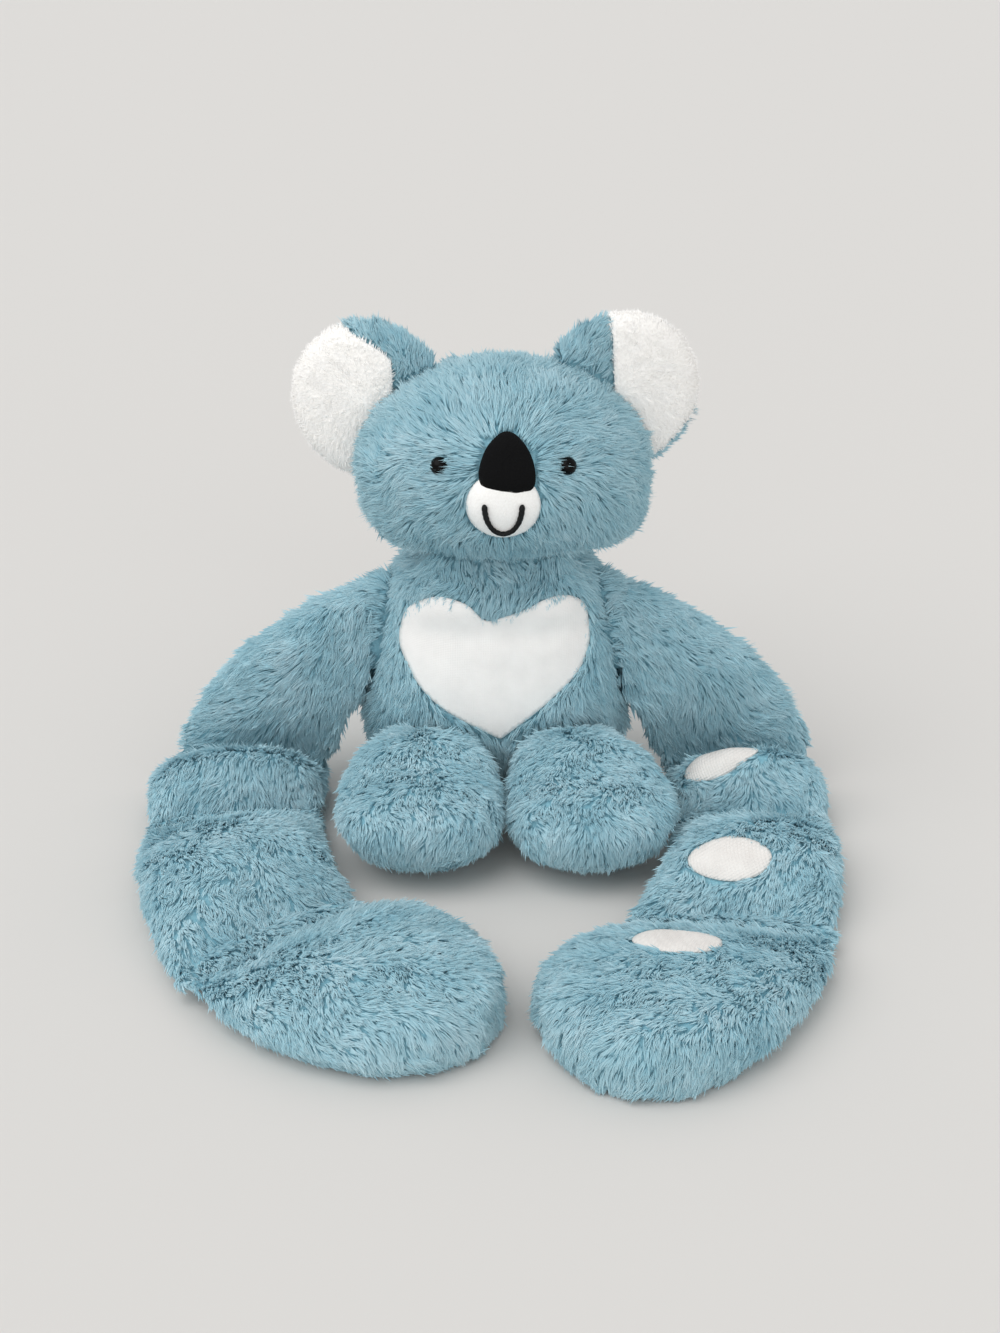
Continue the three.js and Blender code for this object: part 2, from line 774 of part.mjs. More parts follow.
// Leg is the leg that this arm lies round, which its pockets keep clear of.
function makeArm(side, shares, leg) {
  const at = (x, y) => vec(side * armSpread * x, armReach * y, seamHeight);
  const atAll = (rows) => rows.map((row) => at(...row));
  const seams = shares.seams.map(([ox, oy, ix, iy]) => ({ outer: at(ox, oy), inner: at(ix, iy) }));
  const tip = at(...shares.tip);
  const middleOf = (seam) => seam.outer.clone().lerp(seam.inner, 1 / 2);
  const middles = seams.map(middleOf);

  // the level direction across each seam, from one pocket into the next
  const across = seams.map((seam, i) => {
    const along = seam.inner.clone().sub(seam.outer).normalize();
    const level = up.clone().cross(along);
    const next = middles[i + 1] ?? tip;
    return level.multiplyScalar(Math.sign(level.dot(next.clone().sub(middles[i]))));
  });
  const hinges = seams.map((seam, i) => ({
    point: middles[i],
    axis: across[i].clone().cross(up),
    from: foldDegrees[i][0],
    to: foldDegrees[i][1],
  }));
  const beadStart = -seamBeadRadius * seamBeadEndShare;
  const bead = (i) => seamSections(seams[i], across[i], up, [beadStart, 0, seamHem]);
  const hemPlaces = [seamHem, seamBeadRadius + clearance];
  const hem = (i, into, normal) => seamSections(seams[i], into, normal, hemPlaces);

  // the shoulder pocket stands on the table beside the torso and swings about an upright edge
  const half = torsoAt(shoulderHingeHeight).width;
  const shoulder = {
    point: vec(side * (half + hingeStandOff), -shoulderForward, shoulderHingeHeight),
    axis: vec(0, 0, side),
    from: 0,
    to: shoulderSwingDegrees,
    length: shoulderHingeLength,
  };
  const shoulderAt = (z) => vec(side * (torsoAt(z).width - shoulderInside), -shoulderForward, z);
  const edgeDown = (start, rows, end) => {
    const last = end.clone().addScaledVector(up, seamHem);
    const between = rows.map(([x, z], i) => {
      const y = mix(start.y, last.y, (i + 1) / (rows.length + 1));
      return vec(side * armSpread * x, y, shoulderTop * z);
    });
    return edgeThrough([start, ...between, last]);
  };
  const lyingPockets = seams.map((seam, i) => {
    const next = seams[i + 1];
    const off = (point, k, sign) => point.clone().addScaledVector(across[k], sign * seamHem);
    const edge = (rows, name) =>
      edgeThrough([off(seam[name], i, 1), ...atAll(rows), next ? off(next[name], i + 1, -1) : tip]);
    const isPaw = !next;
    return {
      outer: edge(shares.outer[i], "outer"),
      inner: edge(shares.inner[i], "inner"),
      normal: () => up,
      top: pocketHeight - seamHeight,
      under: seamHeight + restBite,
      underSpare: skinThickness - skinUnder,
      topProfile: isPaw ? pawTop : i ? arch : lateArch,
      underProfile: isPaw ? pawUnder : flatUnder,
      endShare: isPaw ? pawEndShare : 1,
      startSections: bead(i),
      endSections: isPaw ? undefined : hem(i + 1, across[i + 1].clone().negate(), up),
      bag: bagShares[i + 1],
      hinge: hinges[i],
      shape: (solid) => solid.subtract(leg.room),
      shapeBag: (bag) => bag.subtract(leg.room),
    };
  });
  const shoulderPocket = {
    outer: edgeDown(shoulderAt(shoulderTop), shoulderUpperShares, seams[0].outer),
    inner: edgeDown(shoulderAt(shoulderBottom), shoulderLowerShares, seams[0].inner),
    normal: (share) => vec(0, -1, 0).lerp(across[0], share).normalize(),
    top: shoulderFront,
    under: shoulderBack,
    underSpare: 0,
    topProfile: shoulderArch,
    underProfile: shoulderArch,
    endShare: 1,
    startSections: [],
    endSections: hem(0, up, across[0]),
    bag: bagShares[0],
    hinge: shoulder,
    shape: (solid) => largest(clearSwing(solid, torsoForm(clearance), shoulder)).add(hingeBead(shoulder, 0)),
    shapeBag: (bag, extra) => clearSwing(bag, torsoForm(clearance + skinThickness + extra), shoulder),
  };
  return [shoulderPocket, ...lyingPockets].map(makePocket);
}

// An oval pad that lies on a pocket of the left arm.
function makePad(pocket, [x, y], turnDegrees) {
  const outline = new THREE.Shape();
  outline.absellipse(0, 0, padLength / 2, padWidth / 2, 0, 2 * Math.PI);
  const prism = new THREE.ExtrudeGeometry(outline, {
    depth: pocketHeight,
    bevelEnabled: false,
    curveSegments: ovalStepCount,
  });
  prism.rotateZ(radians(turnDegrees));
  prism.translate(armSpread * x, armReach * y, seamHeight);
  return sheetOn((extra) => pocketForm(pocket, extra), prism, patchThickness);
}

// Face

const nosePrism = () =>
  frontPrism(outlineOf(noseShares, noseShift, noseBottom, noseWidth, noseTop), splineStepCount);

function makeMuzzle() {
  const outline = new THREE.Shape();
  const middle = (muzzleTop + muzzleBottom) / 2;
  outline.absellipse(headShift, middle, muzzleWidth / 2, muzzleTop - middle, 0, 2 * Math.PI);
  const sheet = sheetOn(headForm, frontPrism(outline, ovalStepCount), muzzleThickness);
  const wide = outlineOf(
    noseShares,
    noseShift,
    noseBottom - clearance,
    noseWidth + 2 * clearance,
    noseTop + clearance,
  );
  return largest(sheet.subtract(solidOf(frontPrism(wide, splineStepCount))));
}

function makeSmile() {
  const outline = new THREE.Shape();
  const half = smileWidth / 2;
  const deep = smileTop - smileBottom;
  outline.moveTo(headShift - half, smileTop);
  outline.absellipse(headShift, smileTop, half, deep, Math.PI, 2 * Math.PI, false);
  outline.absellipse(
    headShift,
    smileTop,
    half - threadWidth,
    deep - threadWidth,
    2 * Math.PI,
    Math.PI,
    true,
  );
  const prism = frontPrism(outline, ovalStepCount);
  return sheetOn(headForm, prism, threadHeight, muzzleThickness + 2 * clearance);
}

// A glossy dome on a stem that goes through the skin, held inside by a washer.
function makeEye(side) {
  const seat = headFrontAt(headShift + (side * eyeSpacing) / 2, eyeHeight);
  const out = outOfHead(seat);
  const radius = eyeDiameter / 2;
  const along = (depth) => seat.clone().addScaledVector(out, depth);
  const base = clearance - eyeSeat;
  const stemEnd = -skinThickness - eyeStemPast;
  const dome = Array.from({ length: domeStepCount + 1 }, (_, i) => {
    const angle = (Math.PI / 2) * (i / domeStepCount);
    return new THREE.Vector2(radius * Math.cos(angle), base + eyeSeat + eyeDome * Math.sin(angle));
  });
  dome[domeStepCount].x = 0;
  const profile = [
    new THREE.Vector2(0, stemEnd),
    new THREE.Vector2(eyeStemRadius, stemEnd),
    new THREE.Vector2(eyeStemRadius, base),
    new THREE.Vector2(radius, base),
    ...dome,
  ];
  const lathe = new THREE.LatheGeometry(profile, 2 * rodSideCount);
  lathe.applyQuaternion(new THREE.Quaternion().setFromUnitVectors(vec(0, 1, 0), out));
  lathe.translate(seat.x, seat.y, seat.z);

  const washerMiddle = -skinThickness - clearance - washerThickness / 2;
  const ring = rod(along(washerMiddle), out, washerRadius, washerThickness);
  const bore = rod(along(washerMiddle), out, eyeStemRadius + clearance, 2 * skinThickness);
  const past = eyeStemPast + clearance;
  return {
    eye: solidOf(lathe),
    washer: ring.subtract(bore),
    skinCut: rod(along(0), out, eyeStemRadius + clearance, 3 * skinThickness)
      .add(rod(along(eyeDome - eyeSeat), out, radius + clearance, 2 * eyeDome))
      .add(rod(along(-skinThickness - past / 2), out, washerRadius + clearance, past)),
    fillCut: rod(along(-skinThickness - past / 2), out, washerRadius + clearance, past + skinThickness),
  };
}

// Put the pieces together

const torsoSolid = solidOf(torsoForm(0));
const legs = { right: makeLeg(-1), left: makeLeg(1) };
const ears = { right: makeEar(-1), left: makeEar(1) };
const eyes = { right: makeEye(-1), left: makeEye(1) };
const arms = { right: makeArm(-1, rightArmShares, legs.right), left: makeArm(1, leftArmShares, legs.left) };
const sides = ["right", "left"];

const neckHole = (from, to) =>
  rod(vec(neck.point.x, neck.point.y, (from + to) / 2), up, fillHoleRadius, to - from);
const neckTop = neckHeight + neckRadius;

function makeTorsoSkin() {
  let skin = cutAtTable(torsoSolid).add(neckRoll(0));
  for (const side of sides) {
    skin = skin.subtract(hingeBead(legs[side].hinge, clearance));
    skin = skin.subtract(hingeBead(arms[side][0].hinge, clearance));
  }
  const hole = neckHole(neckHeight - neckRadius - skinThickness, neckTop + neckWall);
  return skin.subtract(solidOf(torsoForm(-skinThickness))).subtract(hole);
}

function makeHeadSkin() {
  let skin = clearSwing(solidOf(headForm(0)), torsoForm(clearance), neck);
  skin = skin.subtract(neckRoll(neckClearance));
  for (const side of sides) {
    skin = skin.subtract(hingeBead(ears[side].hinge, clearance)).subtract(eyes[side].skinCut);
  }
  const inside = solidOf(headForm(-skinThickness)).subtract(neckRoll(neckClearance + neckWall));
  return largest(skin.subtract(inside).subtract(neckHole(neckTop - neckRadius, neckTop + skinThickness)));
}

function makeHeadFill() {
  const fill = solidOf(headForm(-skinThickness - fillClearance));
  const socket = neckRoll(neckClearance + neckWall + fillClearance);
  return largest(fill.subtract(socket).subtract(eyes.right.fillCut).subtract(eyes.left.fillCut));
}

// The heart's cloth stops short of the legs and of the shoulder pockets.
function makeHeart() {
  const outline = outlineOf(heartShares, heartShift, heartBottom, heartWidth, heartTop);
  let heart = sheetOn(torsoForm, frontPrism(outline, splineStepCount), patchThickness);
  for (const side of sides) {
    heart = heart.subtract(legs[side].room).subtract(solidOf(pocketForm(arms[side][0], clearance)));
  }
  return largest(heart);
}

const finish = (color, roughness, metalness = 0) => () =>
  new THREE.MeshStandardMaterial({ color, roughness, metalness });
const fur = finish("#7fb0bf", 0.95);
const stuffing = finish("#f4f2ee", 1);
const beads = finish("#e6e2d8", 0.7);
const whitePlush = finish("#f4f2ef", 0.95);
const cotton = finish("#f3f1ee", 0.9);
const blackFelt = finish("#0f0f10", 0.95);
const thread = finish("#141414", 0.6);
const glossyBlack = finish("#0a0a0b", 0.15);
const clearPlastic = finish("#dcdcd6", 0.4);

// A group that turns about a point of its parent. Hinge is the axis and limits that it turns within.
function movingGroup(parent, hinge) {
  const group = new THREE.Group();
  group.position.copy(hinge.point).sub(parent.userData.place);
  group.userData = { place: hinge.point, axis: hinge.axis, from: hinge.from, to: hinge.to };
  parent.add(group);
  return group;
}

// Puts a solid, made in the toy's own frame, into a group under its name.
function put(group, name, solid, material) {
  const geometry = new THREE.BufferGeometry();
  const { vertProperties, triVerts } = solid.getMesh();
  geometry.setAttribute("position", new THREE.BufferAttribute(vertProperties, 3));
  geometry.setIndex(new THREE.BufferAttribute(triVerts, 1));
  const { x, y, z } = group.userData.place;
  geometry.translate(-x, -y, -z);
  geometry.computeVertexNormals();
  const mesh = new THREE.Mesh(geometry, material());
  mesh.name = name;
  group.add(mesh);
}

const koala = new THREE.Group();
koala.userData.place = vec(0, 0, 0);
put(koala, "torso_skin", makeTorsoSkin(), fur);
put(koala, "torso_fill", solidOf(torsoForm(-skinThickness - fillClearance)), stuffing);
put(koala, "heart_patch", makeHeart(), cotton);

const head = movingGroup(koala, neck);
put(head, "head_skin", makeHeadSkin(), fur);
put(head, "head_fill", makeHeadFill(), stuffing);
put(head, "nose_patch", sheetOn(headForm, nosePrism(), patchThickness), blackFelt);
put(head, "muzzle_patch", makeMuzzle(), whitePlush);
put(head, "smile_stitch", makeSmile(), thread);

const pocketNames = ["shoulder", "upper", "lower", "paw"];
for (const side of sides) {
  put(head, `${side}_eye`, eyes[side].eye, glossyBlack);
  put(head, `${side}_eye_washer`, eyes[side].washer, clearPlastic);

  const ear = movingGroup(head, ears[side].hinge);
  put(ear, `${side}_ear_back`, ears[side].back, fur);
  put(ear, `${side}_ear_panel`, ears[side].panel, whitePlush);

  const leg = movingGroup(koala, legs[side].hinge);
  put(leg, `${side}_leg_skin`, legs[side].skin, fur);
  put(leg, `${side}_leg_fill`, legs[side].fill, stuffing);

  let arm = koala;
  arms[side].forEach((pocket, i) => {
    arm = movingGroup(arm, pocket.hinge);
    put(arm, `${side}_${pocketNames[i]}_skin`, pocket.skin, fur);
    put(arm, `${side}_${pocketNames[i]}_beads`, pocket.bag, beads);
    if (side === "left" && i > 0) {
      const pad = makePad(pocket, padShares[i - 1], padTurnDegrees[i - 1]);
      put(arm, `${side}_${pocketNames[i]}_pad`, pad, cotton);
    }
  });
}

export default koala;
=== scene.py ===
# %% [markdown]
# # A plush koala
# The toy is sewn from long-pile plush, stuffed, and weighted with bags of beads in its very long
# arms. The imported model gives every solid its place. This lesson gives each one its cloth, its
# pile and its colour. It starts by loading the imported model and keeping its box, to compare sizes
# at the end.

import json
import math

import bmesh
import bpy
import numpy as np
from mathutils import Matrix, Vector
from mathutils.bvhtree import BVHTree
from mathutils.geometry import delaunay_2d_cdt

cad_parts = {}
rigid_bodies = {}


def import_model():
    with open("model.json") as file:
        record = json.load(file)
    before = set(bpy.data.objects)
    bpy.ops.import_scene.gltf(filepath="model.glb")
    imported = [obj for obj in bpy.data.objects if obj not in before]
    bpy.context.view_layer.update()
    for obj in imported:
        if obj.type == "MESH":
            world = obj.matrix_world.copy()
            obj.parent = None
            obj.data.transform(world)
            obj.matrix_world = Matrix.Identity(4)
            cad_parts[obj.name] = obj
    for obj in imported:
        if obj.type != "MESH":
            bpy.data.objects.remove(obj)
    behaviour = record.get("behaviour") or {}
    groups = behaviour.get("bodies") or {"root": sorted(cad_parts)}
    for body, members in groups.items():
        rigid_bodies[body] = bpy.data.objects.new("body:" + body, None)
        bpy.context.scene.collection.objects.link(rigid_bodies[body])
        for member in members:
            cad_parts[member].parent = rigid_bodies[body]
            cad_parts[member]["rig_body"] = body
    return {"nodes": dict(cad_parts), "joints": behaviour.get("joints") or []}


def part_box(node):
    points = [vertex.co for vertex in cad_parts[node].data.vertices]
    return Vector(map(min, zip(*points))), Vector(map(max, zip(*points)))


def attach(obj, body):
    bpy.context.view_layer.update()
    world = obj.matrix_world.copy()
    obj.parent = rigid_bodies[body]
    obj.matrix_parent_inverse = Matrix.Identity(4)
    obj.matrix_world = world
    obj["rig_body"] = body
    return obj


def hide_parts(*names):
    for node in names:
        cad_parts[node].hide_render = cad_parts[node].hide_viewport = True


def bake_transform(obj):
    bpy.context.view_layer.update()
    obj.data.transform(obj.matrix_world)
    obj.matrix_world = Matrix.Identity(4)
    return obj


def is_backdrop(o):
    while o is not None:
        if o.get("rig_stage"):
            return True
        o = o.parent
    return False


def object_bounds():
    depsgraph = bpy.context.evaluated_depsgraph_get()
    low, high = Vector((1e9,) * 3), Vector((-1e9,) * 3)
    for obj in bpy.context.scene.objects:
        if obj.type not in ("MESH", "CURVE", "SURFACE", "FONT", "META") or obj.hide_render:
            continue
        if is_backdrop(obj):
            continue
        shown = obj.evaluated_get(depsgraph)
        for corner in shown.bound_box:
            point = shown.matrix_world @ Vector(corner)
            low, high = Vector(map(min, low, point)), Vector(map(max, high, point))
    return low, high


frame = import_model()
cad_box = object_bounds()
MM = 0.001

# %% [markdown]
# ## Small helpers
# An operator acts on everything that is selected, so one helper selects a piece and nothing else.
# The modifiers of a finished piece are applied, so that its mesh is its real shape.

# %% Select, apply, place, copy
def only(*pieces):
    """Select these pieces and nothing else; the first one is active."""
    bpy.ops.object.select_all(action="DESELECT")
    for piece in pieces:
        piece.select_set(True)
    bpy.context.view_layer.objects.active = pieces[0]


def apply_modifiers(piece):
    """Make the modifiers' work part of the mesh."""
    only(piece)
    for modifier in list(piece.modifiers):
        bpy.ops.object.modifier_apply(modifier=modifier.name)


def new_piece(name, mesh):
    """Link a mesh to the scene as a piece."""
    piece = bpy.data.objects.new(name, mesh)
    bpy.context.scene.collection.objects.link(piece)
    return piece


def add_modifier(piece, kind, **settings):
    """Add a modifier with its settings."""
    modifier = piece.modifiers.new(kind.lower(), kind)
    for name, value in settings.items():
        setattr(modifier, name, value)


def finish_surface(piece, material):
    """Shade a piece smooth and give it one material."""
    only(piece)
    bpy.ops.object.shade_smooth()
    piece.data.materials.clear()
    piece.data.materials.append(material)


def in_edit_mode(piece, *steps):
    """Run these operators on all of a piece in edit mode."""
    only(piece)
    bpy.ops.object.mode_set(mode="EDIT")
    bpy.ops.mesh.select_all(action="SELECT")
    for step in steps:
        step()
    bpy.ops.object.mode_set(mode="OBJECT")


def new_sphere(name, segments, rings, radius=1):
    """A sphere about the origin."""
    bpy.ops.object.select_all(action="DESELECT")
    bpy.ops.mesh.primitive_uv_sphere_add(segments=segments, ring_count=rings, radius=radius)
    bpy.context.object.name = name
    return bpy.context.object


def settle(piece, turn, place):
    """Turn and place a piece, and make that part of its mesh."""
    piece.rotation_mode = "QUATERNION"
    piece.rotation_quaternion = turn
    piece.location = place
    only(piece)
    bpy.ops.object.transform_apply(location=True, rotation=True, scale=True)


def copy_of(name, *nodes):
    """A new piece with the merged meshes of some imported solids."""
    form = bmesh.new()
    for node in nodes:
        form.from_mesh(frame["nodes"][node].data)
    bmesh.ops.remove_doubles(form, verts=form.verts, dist=0.01 * MM)
    mesh = bpy.data.meshes.new(name)
    form.to_mesh(mesh)
    form.free()
    return new_piece(name, mesh)


def keep_largest(piece):
    """Delete every loose shell but the largest one."""
    form = bmesh.new()
    form.from_mesh(piece.data)
    left = set(form.verts)
    shells = []
    while left:
        shell, edge = set(), [left.pop()]
        while edge:
            vertex = edge.pop()
            shell.add(vertex)
            for link in vertex.link_edges:
                other = link.other_vert(vertex)
                if other in left:
                    left.remove(other)
                    edge.append(other)
        shells.append(shell)
    shells.sort(key=len)
    bmesh.ops.delete(form, geom=[v for shell in shells[:-1] for v in shell], context="VERTS")
    form.to_mesh(piece.data)
    form.free()


# %% Points, directions and trees
def points_of(piece, kind="co"):
    """The piece's points as rows of x, y and z."""
    rows = np.zeros(3 * len(piece.data.vertices))
    piece.data.vertices.foreach_get(kind, rows)
    return rows.reshape(-1, 3)


def normals_of(piece):
    """The piece's outward direction at each point."""
    return points_of(piece, "normal")


def move_points(piece, rows):
    """Put the piece's points where the rows say."""
    piece.data.vertices.foreach_set("co", rows.ravel())
    piece.data.update()


def unit(rows):
    """Rows with the same direction and length one."""
    return rows / np.maximum(np.linalg.norm(rows, axis=-1, keepdims=True), 1e-9)


def tree_of(piece):
    """The piece's faces in a tree, to find the nearest one or the one that a ray meets."""
    mesh = piece.data
    mesh.calc_loop_triangles()
    faces = [tuple(t.vertices) for t in mesh.loop_triangles]
    return BVHTree.FromPolygons([v.co for v in mesh.vertices], faces)


# %% [markdown]
# ## Materials
# A material starts from what the real one is. Colours are written as they look on a screen, and
# one function turns them to the linear values that the renderer adds up. One function adds a node
# with its settings, its values and its links.

# %% Colours and nodes
def linear(hex_colour):
    """An sRGB hex colour as linear red, green, blue and alpha."""
    parts = [int(hex_colour[i : i + 2], 16) / 255 for i in (1, 3, 5)]
    return [c / 12.92 if c <= 0.04045 else ((c + 0.055) / 1.055) ** 2.4 for c in parts] + [1.0]


def add_node(material, kind, inputs=None, stops=(), **settings):
    """Add a node to a material. An input takes a value or another node's output."""
    node = material.node_tree.nodes.new("ShaderNode" + kind)
    for name, value in settings.items():
        setattr(node, name, value)
    for name, value in (inputs or {}).items():
        if isinstance(value, bpy.types.NodeSocket):
            material.node_tree.links.new(value, node.inputs[name])
        else:
            node.inputs[name].default_value = value
    for i, (place, hex_colour) in enumerate(stops):
        bands = node.color_ramp.elements
        band = bands[i] if i < 2 else bands.new(place)
        band.position = place
        band.color = linear(hex_colour)
    return node


def start_material(name, **values):
    """A new material, and its shader with the values that are the same all over."""
    material = bpy.data.materials.new(name)
    material.use_nodes = True
    shader = material.node_tree.nodes["Principled BSDF"]
    for socket, value in values.items():
        shader.inputs[socket.replace("_", " ")].default_value = value
    return material, shader


def dress(material, shader, colour, height=None, strength=0, deep=0):
    """Join a colour to the shader, and make a bump out of a height where there is one."""
    material.node_tree.links.new(colour, shader.inputs["Base Color"])
    if height:
        bump = add_node(
            material, "Bump", {"Height": height, "Strength": strength, "Distance": deep}
        )
        material.node_tree.links.new(bump.outputs["Normal"], shader.inputs["Normal"])


def two_shades(material, value, dark, light, ends=(0.3, 0.7)):
    """A colour between two shades, by a value."""
    stops = list(zip(ends, (dark, light)))
    return add_node(material, "ValToRGB", {"Fac": value}, stops=stops).outputs["Color"]


# %% [markdown]
# Long-pile plush is a knitted polyester backing with brushed fibres about a centimetre long, dyed
# in one bath. Its roots look dark because little light gets in, and its tips look pale and soft.
# Each strand of pile carries its own two numbers in its UV map: across is the strand's shade, and
# up is the way from root to tip. The material turns these into colour, so that the colour stays
# with the strand. Its darkening towards the root is painted shade, for the little light down there.

# %% Long pile plush
def pile_material(name, shades, depths, sheen):
    """Colour from each strand's own shade, with painted shade darker towards its root."""
    material, shader = start_material(
        name, Roughness=0.85, IOR=1.5, Specular_IOR_Level=0.25, Sheen_Weight=sheen,
        Sheen_Roughness=0.5,
    )
    strand = add_node(material, "UVMap", uv_map="OFBake")
    parts = add_node(material, "SeparateXYZ", {"Vector": strand.outputs["UV"]})
    shade = add_node(material, "ValToRGB", {"Fac": parts.outputs["X"]}, stops=shades)
    # Painted shade: the colour darkens from the tip down to the root.
    depth = add_node(material, "ValToRGB", {"Fac": parts.outputs["Y"]}, stops=depths)
    colour = add_node(
        material, "Mix", {0: 1.0, 6: shade.outputs["Color"], 7: depth.outputs["Color"]},
        data_type="RGBA", blend_type="MULTIPLY",
    )
    dress(material, shader, colour.outputs[2])
    return material


# The depths of both piles are painted shade, darker towards each strand's root.
plush = pile_material(
    "plush pile, dyed polyester",
    shades=[(0, "#9CC4D0"), (1, "#C8DFE6"), (0.5, "#B4D4DD")],
    depths=[(0, "#B0D0DA"), (1, "#FFFFFF"), (0.4, "#DEECF0")],
    sheen=0.05,
)
white_plush = pile_material(
    "short plush pile, undyed polyester",
    shades=[(0, "#FDFCFA"), (1, "#FFFFFF"), (0.5, "#FFFEFD")],
    depths=[(0, "#F2F0ED"), (1, "#FFFFFF"), (0.4, "#FBFAF8")],
    sheen=0.1,
)

# %% [markdown]
# Under the pile is the knitted backing. It only shows between strands, so a fine knit bump and
# two near shades are enough. The dyed backing is darker than its pile's tips, as painted shade of
# the deep pile, and both backings are darker between their loops, as painted shade.

# %% Knitted backing
def backing_material(name, dark, light):
    """Rows of small knitted loops, with painted shade darker between them."""
    material, shader = start_material(name, Roughness=0.9, IOR=1.5, Specular_IOR_Level=0.2)
    place = add_node(material, "TexCoord")
    stitch = add_node(
        material, "TexVoronoi", {"Vector": place.outputs["Object"], "Scale": 1 / (1.6 * MM)}
    ).outputs["Distance"]
    # Painted shade: the colour darkens away from each loop's middle, between the loops.
    shade = two_shades(material, stitch, light, dark, (0, 1))
    dress(material, shader, shade, stitch, 0.4, 0.3 * MM)
    return material


# The dyed backing's shades are darker than its pile: painted shade of the deep pile.
backing = backing_material("knitted polyester backing, dyed", "#7DB0C0", "#97C5D2")
white_backing = backing_material("knitted polyester backing, undyed", "#F3F1EE", "#FBFAF8")

# %% [markdown]
# The heart and the pads are woven cotton, felt is pressed wool-like fibre, the smile is cotton
# thread, and the eyes and their washers are moulded plastic. A weave's thread spacing is really
# about 0.4 mm, which is too fine to show here, so it is drawn at about 1 mm.

# %% Woven cotton, felt, thread and plastic
def woven_material(name, light, dark, spacing, slant, strength):
    """Plain weave: two sets of threads, drawn as two waves across each other."""
    material, shader = start_material(name, Roughness=0.8, IOR=1.5, Specular_IOR_Level=0.3)
    place = add_node(material, "TexCoord")
    turned = add_node(
        material, "Mapping", {"Vector": place.outputs["Object"], "Rotation": (slant, slant, slant)}
    )
    threads = {"Vector": turned.outputs["Vector"], "Scale": 0.314 / spacing, "Distortion": 0.6}
    warp = add_node(material, "TexWave", threads, bands_direction="Z")
    weft = add_node(material, "TexWave", threads, bands_direction="X")
    weave = add_node(
        material, "Math", {0: warp.outputs["Fac"], 1: weft.outputs["Fac"]}, operation="ADD"
    )
    soft = add_node(
        material, "TexNoise",
        {"Vector": place.outputs["Object"], "Scale": 1 / (14 * MM), "Detail": 4.0},
    ).outputs["Fac"]
    shade = two_shades(material, soft, dark, light)
    dress(material, shader, shade, weave.outputs["Value"], strength, 0.25 * MM)
    return material


def fibre_material(name, light, dark, grain, strength, roughness, **values):
    """Pressed or spun fibre: a fine noise in the colour and the bump."""
    material, shader = start_material(name, Roughness=roughness, IOR=1.5, **values)
    place = add_node(material, "TexCoord")
    hairs = add_node(
        material, "TexNoise",
        {"Vector": place.outputs["Object"], "Scale": 1 / grain, "Detail": 6.0, "Roughness": 0.7},
    ).outputs["Fac"]
    dress(material, shader, two_shades(material, hairs, dark, light), hairs, strength, 0.4 * MM)
    return material


cotton = woven_material("woven cotton, bleached", "#F6F3F0", "#EFECE9", 1.1 * MM, 0.0, 0.25)
pad_cotton = woven_material("woven cotton, coarse", "#E9E6E2", "#DEDAD6", 1.7 * MM, 0.5, 0.7)
felt = fibre_material(
    "pressed felt, black", "#0E0E0F", "#050506", 1.2 * MM, 0.5, 0.95, Specular_IOR_Level=0.15
)
thread = fibre_material(
    "cotton thread, black", "#101011", "#060607", 0.5 * MM, 0.4, 0.7, Specular_IOR_Level=0.3
)
fibrefill = fibre_material("polyester fibre fill", "#F7F7F5", "#DCDCD8", 3 * MM, 0.8, 0.9)
bead_bag = fibre_material("nonwoven bag cloth", "#F0EEE8", "#DAD7CF", 2 * MM, 0.6, 0.85)
eye_plastic = fibre_material(
    "moulded plastic, gloss black", "#030303", "#020202", 2 * MM, 0.01, 0.12,
    Specular_IOR_Level=0.12,
)
washer_plastic = fibre_material(
    "moulded plastic, natural", "#EDEBE4", "#E2DFD6", 4 * MM, 0.05, 0.45
)
print("materials:", len(bpy.data.materials))

# %% [markdown]
# ## The stuffed forms
# Each sewn part is first made as one smooth closed form at the height of the pile. The packed
# solid has flat faces, a slit for its filling and a hollow, so the solid and its filling are
# copied together, remeshed into small even faces, and smoothed.

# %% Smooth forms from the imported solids
SIDES = {"right": -1, "left": 1}  # the koala's own sides, and the sign of x there
POCKETS = ("shoulder", "upper", "lower", "paw")


def smooth_form(name, nodes, grain, rounds, fuller=1.0 * MM):
    """Some solids as one smooth form. The grain is its faces' size, and fuller moves them out."""
    form = copy_of(name, *nodes)
    add_modifier(form, "REMESH", mode="VOXEL", voxel_size=grain)
    add_modifier(form, "SMOOTH", iterations=rounds)
    add_modifier(form, "DISPLACE", strength=fuller, mid_level=0.0)
    apply_modifiers(form)
    keep_largest(form)
    rows = points_of(form)
    rows[:, 2] = np.maximum(rows[:, 2], 0.3 * MM)
    move_points(form, rows)
    return form


# Stuffed pockets are rounder than their solids: above this height, points rise by a share
POCKET_RISE_FROM = 12 * MM
POCKET_RISE = {"upper": 0.16, "lower": 0.08, "paw": 0.08}

